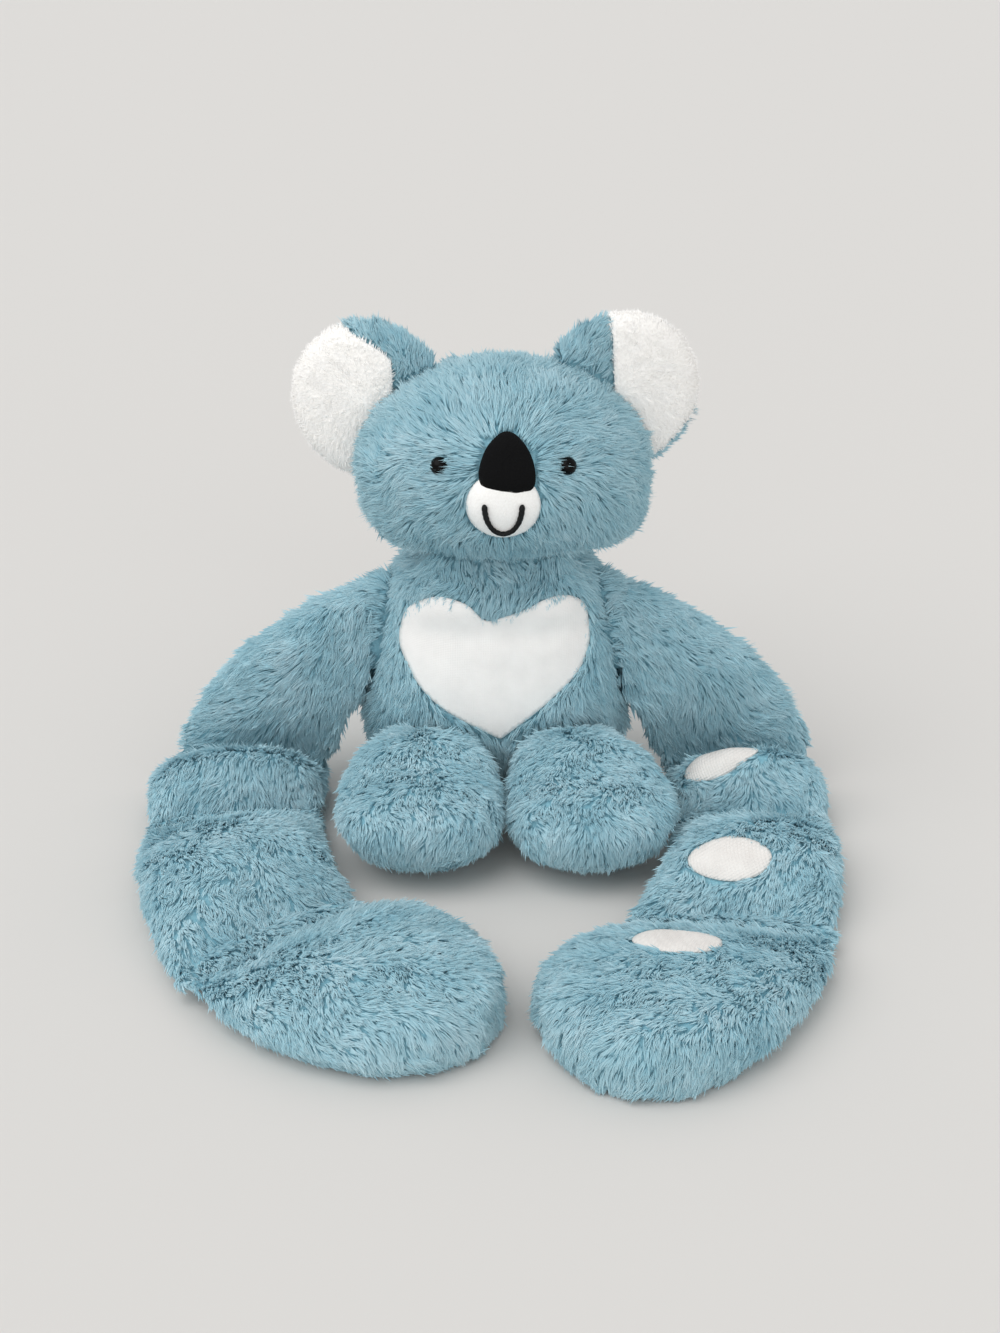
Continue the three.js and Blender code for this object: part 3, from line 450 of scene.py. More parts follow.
forms = {
    "torso": smooth_form("torso_form", ["torso_skin", "torso_fill"], 3.2 * MM, 16),
    "head": smooth_form(
        "head_form", ["head_skin", "head_fill", "right_eye_washer", "left_eye_washer"],
        3.2 * MM, 16,
    ),
}
for side in SIDES:
    forms[side + "_ear"] = smooth_form(side + "_ear_form", [side + "_ear_back"], 2.2 * MM, 8)
    forms[side + "_leg"] = smooth_form(
        side + "_leg_form", [side + "_leg_skin", side + "_leg_fill"], 3 * MM, 14, -1.5 * MM
    )
    for pocket in POCKETS:
        both = [f"{side}_{pocket}_skin", f"{side}_{pocket}_beads"]
        full = -1 * MM if pocket == "paw" else 0.5 * MM
        form = smooth_form(f"{side}_{pocket}_form", both, 2.6 * MM, 8, full)
        if pocket in POCKET_RISE:
            rows = points_of(form)
            rows[:, 2] += np.maximum(rows[:, 2] - POCKET_RISE_FROM, 0) * POCKET_RISE[pocket]
            move_points(form, rows)
        forms[f"{side}_{pocket}"] = form

print("forms:", {name: len(form.data.polygons) for name, form in forms.items()})

# %% [markdown]
# Stuffing makes soft shapes that no flat-faced solid has. The head is heavy, so its cheeks sag a
# little, and the chest swells out under the chin. The ears go some way into the head, so that no
# light shows between them, and the shoulders lie close to the body. Points are pushed by a few
# millimetres, most in the middle of the place and less towards its edge.

# %% Cheeks, chest, ears and shoulders
def rise(values, start, end):
    """From 0 at the start to 1 at the end, with soft ends."""
    t = np.clip((values - start) / (end - start), 0, 1)
    return t * t * (3 - 2 * t)


# In millimetres, as all numbers in this cell
CHEEK_OUT = (7, 10)  # right and left
CHEEK_DOWN, CHEST_OUT, EAR_DEPTH = 3, 16, 14
SHOULDER_IN = {"right": 5, "left": 7}

rows = points_of(forms["head"])
x, z = rows[:, 0] / MM - 5, rows[:, 2] / MM
cheek = rise(-z, -222, -186) * rise(np.abs(x), 30, 62)  # below the eyes, and to the sides
rows[:, 0] += cheek * np.sign(x) * np.where(x > 0, CHEEK_OUT[1], CHEEK_OUT[0]) * MM
rows[:, 2] -= cheek * CHEEK_DOWN * MM
move_points(forms["head"], rows)
rows = points_of(forms["torso"])
x, y, z = rows.T / MM
chest = rise(z, 118, 158) * rise(-np.abs(x), -84, -45) * rise(-y, -6, 22)  # high, middle and front
rows[:, 1] -= chest * CHEST_OUT * MM
move_points(forms["torso"], rows)
head_tree = tree_of(forms["head"])
for side in SIDES:
    rows = points_of(forms[side + "_ear"])
    for row in rows:
        place, way, _, _ = head_tree.find_nearest(Vector(row))
        over = (Vector(row) - place).dot(way) / MM
        row -= np.array(way) * rise(-over, -7, 1) * EAR_DEPTH * MM
    move_points(forms[side + "_ear"], rows)
    rows = points_of(forms[side + "_shoulder"])
    inner = rise(-np.abs(rows[:, 0]) / MM, -128, -98) * rise(-rows[:, 2] / MM, -92, -60)
    rows[:, 0] -= np.sign(rows[:, 0]) * inner * SHOULDER_IN[side] * MM
    move_points(forms[side + "_shoulder"], rows)
print("the chest swells by up to", round(chest.max() * CHEST_OUT, 1), "mm")

# %% [markdown]
# The feet are round at the sole and lower in front. The sole is narrow, and the foot is widest
# above it.

# %% Feet
for side, sign in SIDES.items():
    rows = points_of(forms[side + "_leg"])
    middle_x = (rows[:, 0].min() + rows[:, 0].max()) / 2
    sole = 1 - np.clip(rows[:, 2] / (38 * MM), 0, 1)
    front = rise(-rows[:, 1] / MM, 80, 130)
    # The toe end goes back, most at the sole, and both feet turn a little to the left
    rows[:, 1] += front * (6 + 16 * sole**2) * MM
    rows[:, 0] += rise(-rows[:, 1] / MM, 40, 120) * 4.5 * MM
    # The sole is narrower, the top lower, and the foot wider above, most on its outer side
    rows[:, 0] += sole**2 * 9 * MM * (middle_x - rows[:, 0]) / (40 * MM)
    share = (rows[:, 0] - middle_x - 4.5 * MM) / (42 * MM)
    rows[:, 2] *= 1 - front * (0.16 + 0.04 * share**2)
    wide = rise(rows[:, 2] / MM, 20, 50) * rise(-rows[:, 1] / MM, 30, 90)
    rows[:, 0] += share * (2 * front + wide * np.where(share * sign > 0, 9, 3)) * MM
    move_points(forms[side + "_leg"], rows)
    low, high = rows.min(0), rows.max(0)
    print(side, "foot, in mm:", [round(c, 1) for c in (high - low) / MM])

# %% [markdown]
# The quilting seams don't pull the arm down to nothing: the stuffing crosses them, so each seam
# is a soft valley. A low bolster lies in each seam and in front of each shoulder seam. Each
# bolster is a sphere, drawn out along its seam until its sides are straight.

# %% A bolster
def bolster(name, start, end, across, over, middle_lift):
    """A rounded roll between two ends; across is half its width and over is half its height."""
    roll = new_sphere(name, 28, 24)
    rows = points_of(roll)
    # With a power below 1, the sides are straighter
    rows[:, 2] = np.sign(rows[:, 2]) * np.abs(rows[:, 2]) ** 0.6
    move_points(roll, rows)
    line = Vector(end) - Vector(start)
    roll.scale = (over, across, line.length / 2)
    long_way = line.normalized()
    side_way = Vector((0, 0, 1)).cross(line).normalized()
    turn = Matrix((side_way.cross(long_way), side_way, long_way)).transposed()
    middle = (Vector(start) + Vector(end)) / 2 + Vector((0, 0, middle_lift))
    settle(roll, turn.to_quaternion(), middle)
    add_modifier(roll, "REMESH", mode="VOXEL", voxel_size=2.6 * MM)
    add_modifier(roll, "SMOOTH", iterations=4)
    apply_modifiers(roll)
    return roll


# %% Bolsters in the quilting seams
# The seams' outer and inner ends, across and forward, as shares of the arms' spread and reach
SPREAD, REACH = 226 * MM, 390 * MM
SEAM_SHARES = {
    "right": [
        (0.956, -0.06, 0.5, -0.06), (0.969, -0.272, 0.496, -0.228), (0.78, -0.73, 0.354, -0.508)
    ],
    "left": [
        (0.934, -0.06, 0.5, -0.06), (0.938, -0.262, 0.505, -0.25), (0.872, -0.597, 0.335, -0.57)
    ],
}
bends = {}
for side, sign in SIDES.items():
    for k, shares in enumerate(SEAM_SHARES[side]):
        outer, inner = (
            Vector((sign * x * SPREAD, y * REACH, 14 * MM)) for x, y in (shares[:2], shares[2:])
        )
        line = (inner - outer).normalized()
        name = f"{side}_seam_{k + 1}"
        past = 1 * MM * line
        roll = bolster(name, outer - past, inner + past, 18 * MM, 9 * MM, -2 * MM)
        rows = points_of(roll)
        rows[:, 2] = np.maximum(rows[:, 2], 3 * MM)
        move_points(roll, rows)
        forms[name] = roll
        forward = Vector((0, 0, 1)).cross(line) * sign
        middle = (outer + inner) / 2
        bends[name] = (
            f"{side}_{POCKETS[k]}", f"{side}_{POCKETS[k + 1]}",
            middle - 12 * MM * forward, middle + 12 * MM * forward,
        )

# %% Bolsters in front of the shoulders
for side, sign in SIDES.items():
    hinge = next(j for j in frame["joints"] if j["name"] == side + "_shoulder_swing")
    place = Vector(hinge["pos_m"])
    name = side + "_shoulder_seam"
    low_end = Vector((sign * 83 * MM, -16 * MM, 78 * MM))
    high_end = Vector((sign * 66 * MM, -12 * MM, 150 * MM))
    forms[name] = bolster(name, low_end, high_end, 15 * MM, 17 * MM, 0)
    bends[name] = (
        "torso", side + "_shoulder",
        Vector((sign * 66 * MM, place.y, place.z)), Vector((sign * 96 * MM, place.y, place.z)),
    )
    print(name, "hinge at", [round(c / MM) for c in place])
print("bolsters:", {n: [tuple(round(c / MM) for c in p) for p in b[2:]] for n, b in bends.items()})

# %% [markdown]
# Many steps ask how far a place is from a form, so each form's faces are kept in a tree.

# %% Trees of faces
trees = {name: tree_of(form) for name, form in forms.items()}
print("trees:", len(trees))

# %% [markdown]
# The backing cloth lies under the pile, so it is the same form drawn in by a few millimetres, and
# by less where the form is thin, such as at a seam, or where it rests on the table and the pile
# is pressed flat. A ray through the form measures how thick it is.

# %% Backing cloth
def pile_depth(name):
    """How far the cloth lies under the tips of the pile, which is lower on arms and feet."""
    low = any(word in name for word in ("leg", "upper", "lower", "paw", "seam_"))
    return 3.4 * MM if low else 4.7 * MM


def thickness_at(name, points, normals, most=60 * MM):
    """How thick a form is, straight in from each point."""
    tree = trees[name]
    found = []
    for point, normal in zip(points, normals):
        start = Vector(point) - 0.4 * MM * Vector(normal)
        hit = tree.ray_cast(start, -Vector(normal), most)
        found.append(most if hit[0] is None else hit[3])
    return np.array(found)


def smoothed_over(piece, values, rounds):
    """Values at a piece's points, each mixed with its neighbours'."""
    ends = np.zeros(2 * len(piece.data.edges), np.int64)
    piece.data.edges.foreach_get("vertices", ends)
    a, b = ends.reshape(-1, 2).T
    count = np.bincount(a, minlength=len(values)) + np.bincount(b, minlength=len(values))
    for _ in range(rounds):
        total = np.bincount(a, values[b], len(values)) + np.bincount(b, values[a], len(values))
        values = 0.5 * values + 0.5 * total / np.maximum(count, 1)
    return values


backings = {}
for name, form in forms.items():
    cloth = new_piece(name + "_backing", form.data.copy())
    points, normals = points_of(cloth), normals_of(cloth)
    thick = thickness_at(name, points, normals)
    down = np.clip(-normals[:, 2], 0, 1) * np.clip(1 - points[:, 2] / (30 * MM), 0, 1)
    inset = np.minimum(pile_depth(name), 0.28 * thick) * (1 - 0.75 * down)
    inset = smoothed_over(cloth, inset, 6)
    move_points(cloth, points - normals * inset[:, None])
    add_modifier(cloth, "DECIMATE", ratio=0.3)
    add_modifier(cloth, "SMOOTH", iterations=3)
    apply_modifiers(cloth)
    finish_surface(cloth, backing)
    backings[name] = cloth
cloth_rows, cloth_faces = [], []
for cloth in backings.values():
    first = len(cloth_rows)
    cloth_rows += [v.co for v in cloth.data.vertices]
    cloth_faces += [[first + i for i in face.vertices] for face in cloth.data.polygons]
cloth_tree = BVHTree.FromPolygons(cloth_rows, cloth_faces)
print("backing faces:", sum(len(cloth.data.polygons) for cloth in backings.values()))

# %% [markdown]
# ## Patches
# The heart, the nose, the muzzle, the ear fronts and the pads are flat pieces of cloth sewn on by
# their edges. Each starts as its cut outline, a smooth line through a few corners.

# %% Smooth outlines
def bend_between(before, start, end, after, steps):
    """Points on a smooth line from start up to end. The ones before and after give its bend."""
    return [
        0.5
        * (
            2 * start
            + (end - before) * t
            + (2 * before - 5 * start + 4 * end - after) * t**2
            + (3 * start - before - 3 * end + after) * t**3
        )
        for t in (k / steps for k in range(steps))
    ]


def through(corners, steps):
    """A smooth closed line through the corners of an outline; the first one stays sharp."""
    rows = np.array(corners)
    count = len(rows)
    line = []
    for i in range(count):
        before, start, end, after = (rows[(i + k) % count] for k in (-1, 0, 1, 2))
        if i == 0:
            before = start
        if i == count - 1:
            after = end
        line += bend_between(before, start, end, after, steps)
    return np.array(line)


# %% [markdown]
# Rings of faces would pinch the cloth in the middle, so the outline is filled with even points
# and the triangles between them.

# %% Filled outlines
def filled(outline, spacing):
    """Even points over an outline, the triangles between them, and each one's way to the edge."""
    ends = np.array([*outline, outline[0]])
    far = np.concatenate([[0], np.cumsum(np.linalg.norm(np.diff(ends, axis=0), axis=1))])
    steps = np.linspace(0, far[-1], max(int(far[-1] / spacing), 12), endpoint=False)
    edge = np.stack([np.interp(steps, far, ends[:, k]) for k in (0, 1)], 1)
    low, high = edge.min(0), edge.max(0)
    grid = [
        (low[0] + (i + 0.5 * (j % 2)) * spacing, low[1] + 0.866 * j * spacing)
        for j in range(int((high[1] - low[1]) / (0.866 * spacing)) + 1)
        for i in range(int((high[0] - low[0]) / spacing) + 1)
    ]
    after = np.roll(edge, -1, 0)

    def from_edge(points):
        line = after - edge
        share = ((points[:, None] - edge) * line).sum(2) / (line**2).sum(1)
        foot = edge + np.clip(share, 0, 1)[..., None] * line
        return np.linalg.norm(points[:, None] - foot, axis=2).min(1)

    grid = np.array(grid)
    crossed = (edge[:, 1] > grid[:, None, 1]) != (after[:, 1] > grid[:, None, 1])
    along_x, along_y = (after - edge).T
    slope = along_x / np.where(along_y == 0, 1, along_y)
    right_of = grid[:, None, 0] < edge[:, 0] + slope * (grid[:, None, 1] - edge[:, 1])
    inside = (crossed & right_of).sum(1) % 2 == 1
    grid = grid[inside]
    grid = grid[from_edge(grid) > 0.6 * spacing]
    points = [Vector(p) for p in [*edge, *grid]]
    loop = list(range(len(edge)))
    made, _, faces, *_ = delaunay_2d_cdt(points, [], [loop], 1, 1e-7)
    made = np.array([tuple(p) for p in made])
    return made, [tuple(face) for face in faces], from_edge(made)


# %% [markdown]
# The cut cloth is pressed onto the form behind it, puffed a little away from its sewn edge, and
# given a thickness with Solidify.

# %% Cut, press on, puff
def cut_patch(name, outline, middle, turn, spacing, disc, hidden_in):
    """A patch as it is cut. The outline is across and up from its middle, before the turn. A disc,
    by its middle, radius and bulge, makes it hollow. It is cut off where it is inside a form."""
    flat, faces, from_edge = filled(np.array(outline), spacing)
    rows = np.stack([flat[:, 0], np.zeros(len(flat)), flat[:, 1]], 1)
    if disc:
        off = np.hypot(rows[:, 0] - disc[0], rows[:, 2] - disc[1]) / disc[2]
        rows[:, 1] = -disc[3] * np.sqrt(np.maximum(0, 1 - off**2))
    if hidden_in:
        place = Matrix.Translation(middle) @ Matrix.Rotation(turn[2], 4, "Z")
        deep = np.zeros(len(rows), bool)
        for i, row in enumerate(rows):
            point = place @ Vector(row)
            near, way, _, _ = hidden_in.find_nearest(point)
            deep[i] = (point - near).dot(way) < -2.5 * MM
        faces = [face for face in faces if not deep[list(face)].any()]
    mesh = bpy.data.meshes.new(name)
    mesh.from_pydata(rows.tolist(), [], faces)
    piece = new_piece(name, mesh)
    puff = piece.vertex_groups.new(name="puff")
    for i, share in enumerate(from_edge / from_edge.max()):
        puff.add([i], 1 - (1 - share) ** 4, "REPLACE")
    in_edit_mode(piece, bpy.ops.mesh.delete_loose)
    return piece


def patch(
    name, outline, middle, turn, target, material, spacing, lift, crown, thickness, wrinkle=0.0,
    disc=None, hidden_in=None,
):
    """A sewn-on patch. It presses on its target, or on the nearest cloth where it wraps a disc."""
    piece = cut_patch(name, outline, middle, turn, spacing, disc, hidden_in)
    piece.location = middle
    piece.rotation_euler = turn
    both_ways = dict(use_negative_direction=True, use_positive_direction=True)
    flat_press = dict(wrap_method="PROJECT", use_project_y=True, **both_ways)
    press = dict(wrap_method="NEAREST_SURFACEPOINT") if disc else flat_press
    press.update(target=target, wrap_mode="ABOVE_SURFACE", offset=lift)
    add_modifier(piece, "SHRINKWRAP", **press)
    apply_modifiers(piece)
    only(piece)
    bpy.ops.object.transform_apply(location=True, rotation=True, scale=True)

    tip_up, swing = Matrix.Rotation(turn[0], 3, "X"), Matrix.Rotation(turn[2], 3, "Z")
    front = swing @ tip_up @ Vector((0, -1, 0))
    if (normals_of(piece) @ np.array(front)).mean() < 0:
        in_edit_mode(piece, bpy.ops.mesh.flip_normals)
    add_modifier(piece, "DISPLACE", strength=crown, mid_level=0.0, vertex_group="puff")
    if wrinkle:
        folds = bpy.data.textures.new(name + " folds", "CLOUDS")
        folds.noise_scale = 22 * MM
        add_modifier(piece, "DISPLACE", texture=folds, strength=wrinkle, vertex_group="puff")
    add_modifier(piece, "SMOOTH", iterations=6, vertex_group="puff")
    add_modifier(piece, "SOLIDIFY", thickness=thickness, offset=-1.0)
    apply_modifiers(piece)
    finish_surface(piece, material)
    return piece


# %% [markdown]
# The outlines below are cut patterns, as shares of each piece's width and height.

# %% Heart, nose and muzzle
HEART_SHARES = [
    (0.03, 0), (0.26, 0.235), (0.43, 0.43), (0.495, 0.58), (0.5, 0.73), (0.47, 0.905), (0.37, 1),
    (0.255, 0.985), (0.14, 0.915), (0.05, 0.87), (-0.05, 0.84), (-0.15, 0.965), (-0.305, 1),
    (-0.44, 0.9), (-0.5, 0.73), (-0.49, 0.55), (-0.33, 0.26),
]
NOSE_SHARES = [
    (0.17, 0), (-0.19, 0.05), (-0.44, 0.17), (-0.5, 0.4), (-0.38, 0.74), (-0.17, 0.94), (0, 1),
    (0.19, 0.93), (0.39, 0.72), (0.5, 0.42), (0.47, 0.13),
]


def sized(shares, low, high, steps, centre=0.5):
    """An outline in metres, about the middle of the box that the node's two corners give."""
    width, height = high.x - low.x, high.z - low.z
    return [(x * width, (z - centre) * height) for x, z in through(shares, steps)]


def front_of(node):
    """A node's box, and a place straight in front of its middle."""
    low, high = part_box(node)
    return low, high, Vector(((low.x + high.x) / 2, low.y - 20 * MM, (low.z + high.z) / 2))


low, high, ahead = front_of("heart_patch")
heart_outline = [(1.03 * x + 1 * MM, z) for x, z in sized(HEART_SHARES, low, high, 4)]
heart = patch(
    "heart", heart_outline, ahead + Vector((0, 0, 1.5 * MM)), (0, 0, 0), forms["torso"], cotton,
    2.4 * MM, lift=-1.4 * MM, crown=1.7 * MM, thickness=1.4 * MM, wrinkle=1.0 * MM,
)

low, high, ahead = front_of("muzzle_patch")
turns = [2 * math.pi * k / 48 for k in range(48)]
circle = [(0.5 * math.sin(turn), 0.5 * math.cos(turn)) for turn in turns]
muzzle_width, muzzle_height = 0.96 * (high.x - low.x), 45 * MM
muzzle_outline = [(x * muzzle_width, z * muzzle_height) for x, z in circle]
muzzle_middle = Vector((ahead.x, ahead.y, low.z + muzzle_height / 2))
muzzle = patch(
    "muzzle", muzzle_outline, muzzle_middle, (0, 0, 0), forms["head"], white_backing, 1.5 * MM,
    lift=-0.6 * MM, crown=4.6 * MM, thickness=2 * MM,
)

low, high, ahead = front_of("nose_patch")
nose_outline = [(x, 1.06 * z - 0.6 * MM) for x, z in sized(NOSE_SHARES, low, high, 5)]
nose = patch(
    "nose", nose_outline, ahead, (0, 0, 0), forms["head"], felt, 1.5 * MM,
    lift=1.6 * MM, crown=4 * MM, thickness=2.4 * MM,
)
print("heart, muzzle and nose:", [len(p.data.polygons) for p in (heart, muzzle, nose)])

# %% [markdown]
# Each ear is a fur disc with a white panel sewn on its front. The panel follows the rim for part
# of the way and crosses the front in a soft curve, so that blue fur shows only towards the top of
# the head.

# %% Ear fronts
EAR_RADIUS = 50.5 * MM
EAR_TURN = math.radians(14)
# Where the panel starts and ends on the rim, in degrees up from the outside
EAR_RIM = {"right": (-77, 69), "left": (-12, 100)}
# Its curve across the ear, in ear radii
EAR_INNER = {
    "right": [(-0.25, 0.63), (-0.34, 0.35), (-0.3, -0.1), (-0.1, -0.6)],
    "left": [(-0.14, 0.37), (-0.1, -0.1), (0.08, -0.52), (0.36, -0.8), (0.68, -0.58)],
}


def curve_through(points, steps):
    """A smooth open line through some points, without its last one."""
    rows = [np.array(p, float) for p in points]
    rows = [2 * rows[0] - rows[1], *rows, 2 * rows[-1] - rows[-2]]
    line = []
    for ends in zip(rows, rows[1:], rows[2:], rows[3:]):
        line += bend_between(*ends, steps)
    return line


ears = {}
ear_frames = {}
for side, sign in SIDES.items():
    front = Vector((sign * math.sin(EAR_TURN), -math.cos(EAR_TURN), 0))
    aside = Vector((0, 0, 1)).cross(front)
    disc = Vector((sign * 79 * MM, 8 * MM, (262 + sign * 3) * MM))
    start, end = (math.radians(d) for d in EAR_RIM[side])
    rim = [
        (math.cos(start + (end - start) * k / 30), math.sin(start + (end - start) * k / 30))
        for k in range(31)
    ]
    inner = curve_through([rim[-1], *EAR_INNER[side], rim[0]], 8)
    shares = np.array([*rim, *inner[1:]])
    middle = shares.mean(0)
    outline = (shares - middle) * EAR_RADIUS * (sign, 1)
    across, up = sign * middle[0] * EAR_RADIUS, middle[1] * EAR_RADIUS
    centre = disc + aside * across + Vector((0, 0, up))
    bulge = (-across, -up, EAR_RADIUS, 11 * MM)
    ears[side] = patch(
        side + "_ear_front", outline, centre, (0, 0, sign * EAR_TURN), forms[side + "_ear"],
        white_backing, 2.2 * MM, lift=0.3 * MM, crown=2 * MM, thickness=1.6 * MM, disc=bulge,
        hidden_in=trees["head"],
    )
    ear_frames[side] = (disc, front, aside)
    print(side, "ear front:", len(ears[side].data.polygons), "faces")

# %% [markdown]
# Three pads of coarse woven cotton are sewn on the left arm, one on each pocket that lies on the
# table.

# %% Arm pads
PAD_TURN = {"upper": 14, "lower": -4, "paw": -6}
pads = {}
for pocket, degrees in PAD_TURN.items():
    low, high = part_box(f"left_{pocket}_pad")
    above = (low + high) / 2 + Vector((0, -4 * MM if pocket == "upper" else 0, 30 * MM))
    oval = [(50 * MM * x, 29 * MM * z) for x, z in circle]
    pads[pocket] = patch(
        f"left_{pocket}_pad_cloth", oval, above, (-math.pi / 2, 0, math.radians(degrees)),
        forms["left_" + pocket], pad_cotton, 1.8 * MM, lift=-1.6 * MM, crown=1.2 * MM,
        thickness=1.2 * MM,
    )
print("pads:", {pocket: len(pad.data.polygons) for pocket, pad in pads.items()})

# %% [markdown]
# ## The pile
# Real plush has thousands of fibres in each square centimetre. They stick together in tufts, so a
# tuft of a few broad strands reads the same from where the eye stands. A strand is a closed blade
# with four faces: a root, two points where it bends, and a tip. Strands lie along the way the
# cloth was brushed, and a gentle wave in that direction gives the tousled look. A seeded
# generator makes the same pile each time.

# %% How pile grows
rng = np.random.default_rng(20)
TABLE_GAP = 0.4 * MM


def wave(points, size, seed):
    """A smooth random value between about -1 and 1 that changes over the given size."""
    pick = np.random.default_rng(seed)
    total = np.zeros(len(points))
    for _ in range(7):
        way = unit(pick.normal(size=3))
        ripple = 2 * math.pi / (size * pick.uniform(0.7, 1.5))
        total += np.sin(points @ way * ripple + pick.uniform(0, 6.3))
    return total / 2.6


def scatter(form, spacing):
    """Even random places on a form, about one in each cube of the spacing, and their ways out."""
    mesh = form.data
    mesh.calc_loop_triangles()
    corners = np.zeros(3 * len(mesh.loop_triangles), np.int64)
    mesh.loop_triangles.foreach_get("vertices", corners)
    corners = corners.reshape(-1, 3)
    rows, ways = points_of(form), normals_of(form)
    a, b, c = (rows[corners[:, k]] for k in range(3))
    areas = np.linalg.norm(np.cross(b - a, c - a), axis=1) / 2
    count = int(3 * areas.sum() / spacing**2)
    picked = rng.choice(len(areas), count, p=areas / areas.sum())
    u, v = rng.random(count), rng.random(count)
    flip = u + v > 1
    u[flip], v[flip] = 1 - u[flip], 1 - v[flip]
    w = 1 - u - v
    weights = np.stack([w, u, v], 1)
    places = np.einsum("nk,nkx->nx", weights, rows[corners[picked]])
    directions = unit(np.einsum("nk,nkx->nx", weights, ways[corners[picked]]))
    cell = np.floor(places / spacing).astype(np.int64)
    _, first = np.unique(cell, axis=0, return_index=True)
    return places[first], directions[first]


def tangent(ways, normals):
    """The part of each way that lies in the surface, with length one."""
    return unit(ways - normals * (ways * normals).sum(1, keepdims=True))


def swung(lie, normals, angles):
    """Ways that are turned aside in the surface."""
    aside = np.cross(normals, lie)
    return unit(lie * np.cos(angles)[:, None] + aside * np.sin(angles)[:, None])


# %% [markdown]
# The blades are written straight into one mesh. Flat faces would glitter, so their shading leans
# on the direction of the form, and a little to each side, as if each blade were round.

# %% Blades
BEND_AT = 0.4  # where a blade bends, as a share of its length
FACES = np.array([[0, 1, 2], [3, 2, 1], [0, 3, 1], [0, 2, 3]])


def build_pile(
    name, root, normal, lie, length, root_tilt, tip_tilt, width, shade, material, even,
    pressed=False,
):
    """Blades of pile as one mesh. Tilts are in radians from straight up. Pressed ones lie flat."""
    low = np.cos(root_tilt)[:, None] * normal + np.sin(root_tilt)[:, None] * lie
    high = np.cos(tip_tilt)[:, None] * normal + np.sin(tip_tilt)[:, None] * lie
    bend = root + BEND_AT * length[:, None] * low
    tip = bend + (1 - BEND_AT) * length[:, None] * high
    across = unit(np.cross(high, normal))
    half = 0.5 * width[:, None]
    rows = np.stack([root, bend - across * half, bend + across * half, tip], 1)
    over_table = pressed | ((rows[:, :, 2] < TABLE_GAP).sum(1) < 2)
    rows, across, high = rows[over_table], across[over_table], high[over_table]
    normal, shade = normal[over_table], shade[over_table]
    count = len(rows)
    layer = TABLE_GAP + pressed * rng.uniform(0, 0.9 * MM, count)[:, None] * (1, 0.8, 0.8, 0.3)
    rows[:, :, 2] = np.maximum(rows[:, :, 2], layer)

    one = rows[0] - rows[0][0]
    faces = FACES[:, ::-1] if np.dot(np.cross(one[1], one[2]), one[3]) > 0 else FACES
    corners = (faces[None] + 4 * np.arange(count)[:, None, None]).reshape(-1, 3)
    mesh = bpy.data.meshes.new(name)
    mesh.vertices.add(4 * count)
    mesh.vertices.foreach_set("co", rows.ravel())
    mesh.loops.add(3 * len(corners))
    mesh.loops.foreach_set("vertex_index", corners.ravel())
    mesh.polygons.add(len(corners))
    mesh.polygons.foreach_set("loop_start", 3 * np.arange(len(corners)))
    uv = mesh.uv_layers.new(name="OFBake")
    across_share = np.stack([shade, shade - 0.006, shade + 0.006, shade], 1)
    up_share = np.tile([0, BEND_AT, BEND_AT, 1], (count, 1))
    table = np.stack([across_share, up_share], 2).reshape(-1, 2)
    uv.data.foreach_set("uv", table[corners.ravel()].ravel())
    mesh.update(calc_edges=True)

    face_up = unit(np.cross(high, across))
    face_up *= np.sign((face_up * normal).sum(1, keepdims=True))
    soft = unit(even * normal + (1 - even) * face_up)
    turned = np.stack(
        [soft, unit(soft - 0.25 * across), unit(soft + 0.25 * across), unit(soft + 0.15 * high)], 1
    )
    shading = turned[:, faces]
    a, b, c = (rows[:, faces[:, k]] for k in range(3))
    under = unit(np.cross(b - a, c - a))[:, 2:, None]
    shading[:, 2:] = unit(under + 0.35 * normal[:, None, None])
    mesh.shade_smooth()
    mesh.normals_split_custom_set(shading.reshape(-1, 3).astype(np.float32))
    mesh.materials.append(material)
    return new_piece(name, mesh)


# %% [markdown]
# A tuft is left out where another part presses on the cloth, under a patch, round an eye, and
# where the form rests on the table. These tests look at the forms and patches themselves.

# %% Where no pile grows
patch_trees = {
    "torso": [tree_of(heart)],
    "head": [tree_of(muzzle), tree_of(nose)],
    **{side + "_ear": [tree_of(ear)] for side, ear in ears.items()},
    **{"left_" + pocket: [tree_of(pad)] for pocket, pad in pads.items()},
}
# The pile leans over the edge of these patches, towards the middle of each, from this far away
LAP = 6 * MM
edged = {"torso": heart, **{"left_" + pocket: pad for pocket, pad in pads.items()}}
laps = {name: (tree_of(cloth), points_of(cloth).mean(0)) for name, cloth in edged.items()}


def free_places(name, points, normals):
    """Which places aren't inside another form or under a patch. A place is inside a form when
    the nearest face looks straight away from it."""
    free = np.ones(len(points), bool)
    for other, tree in trees.items():
        if other == name:
            continue
        rows = points_of(forms[other])
        low, high = rows.min(0) - 2 * MM, rows.max(0) + 2 * MM
        near = ((points > low) & (points < high)).all(1)
        for i in np.flatnonzero(near & free):
            place, way, _, far = tree.find_nearest(Vector(points[i]), 40 * MM)
            if place is None:
                continue
            outside = (Vector(points[i]) - place).dot(way)
            if outside < -0.5 * far:
                free[i] = False
    for tree in patch_trees.get(name, []):
        for i in np.flatnonzero(free):
            start = Vector(points[i]) - 5 * MM * Vector(normals[i])
            if tree.ray_cast(start, Vector(normals[i]), 16 * MM)[0] is not None:
                free[i] = False
    return free


# %% [markdown]
# The brush runs away from the nose over the head, down the body, out over the feet and along the
# arms.

# %% The way of the brush
def away_from(centre, fall=0.0):
    """Strands point away from a place, and also down by a share."""
    def ways(points):
        return unit(points - np.array(centre)) + np.array((0, 0, -fall))

    return ways


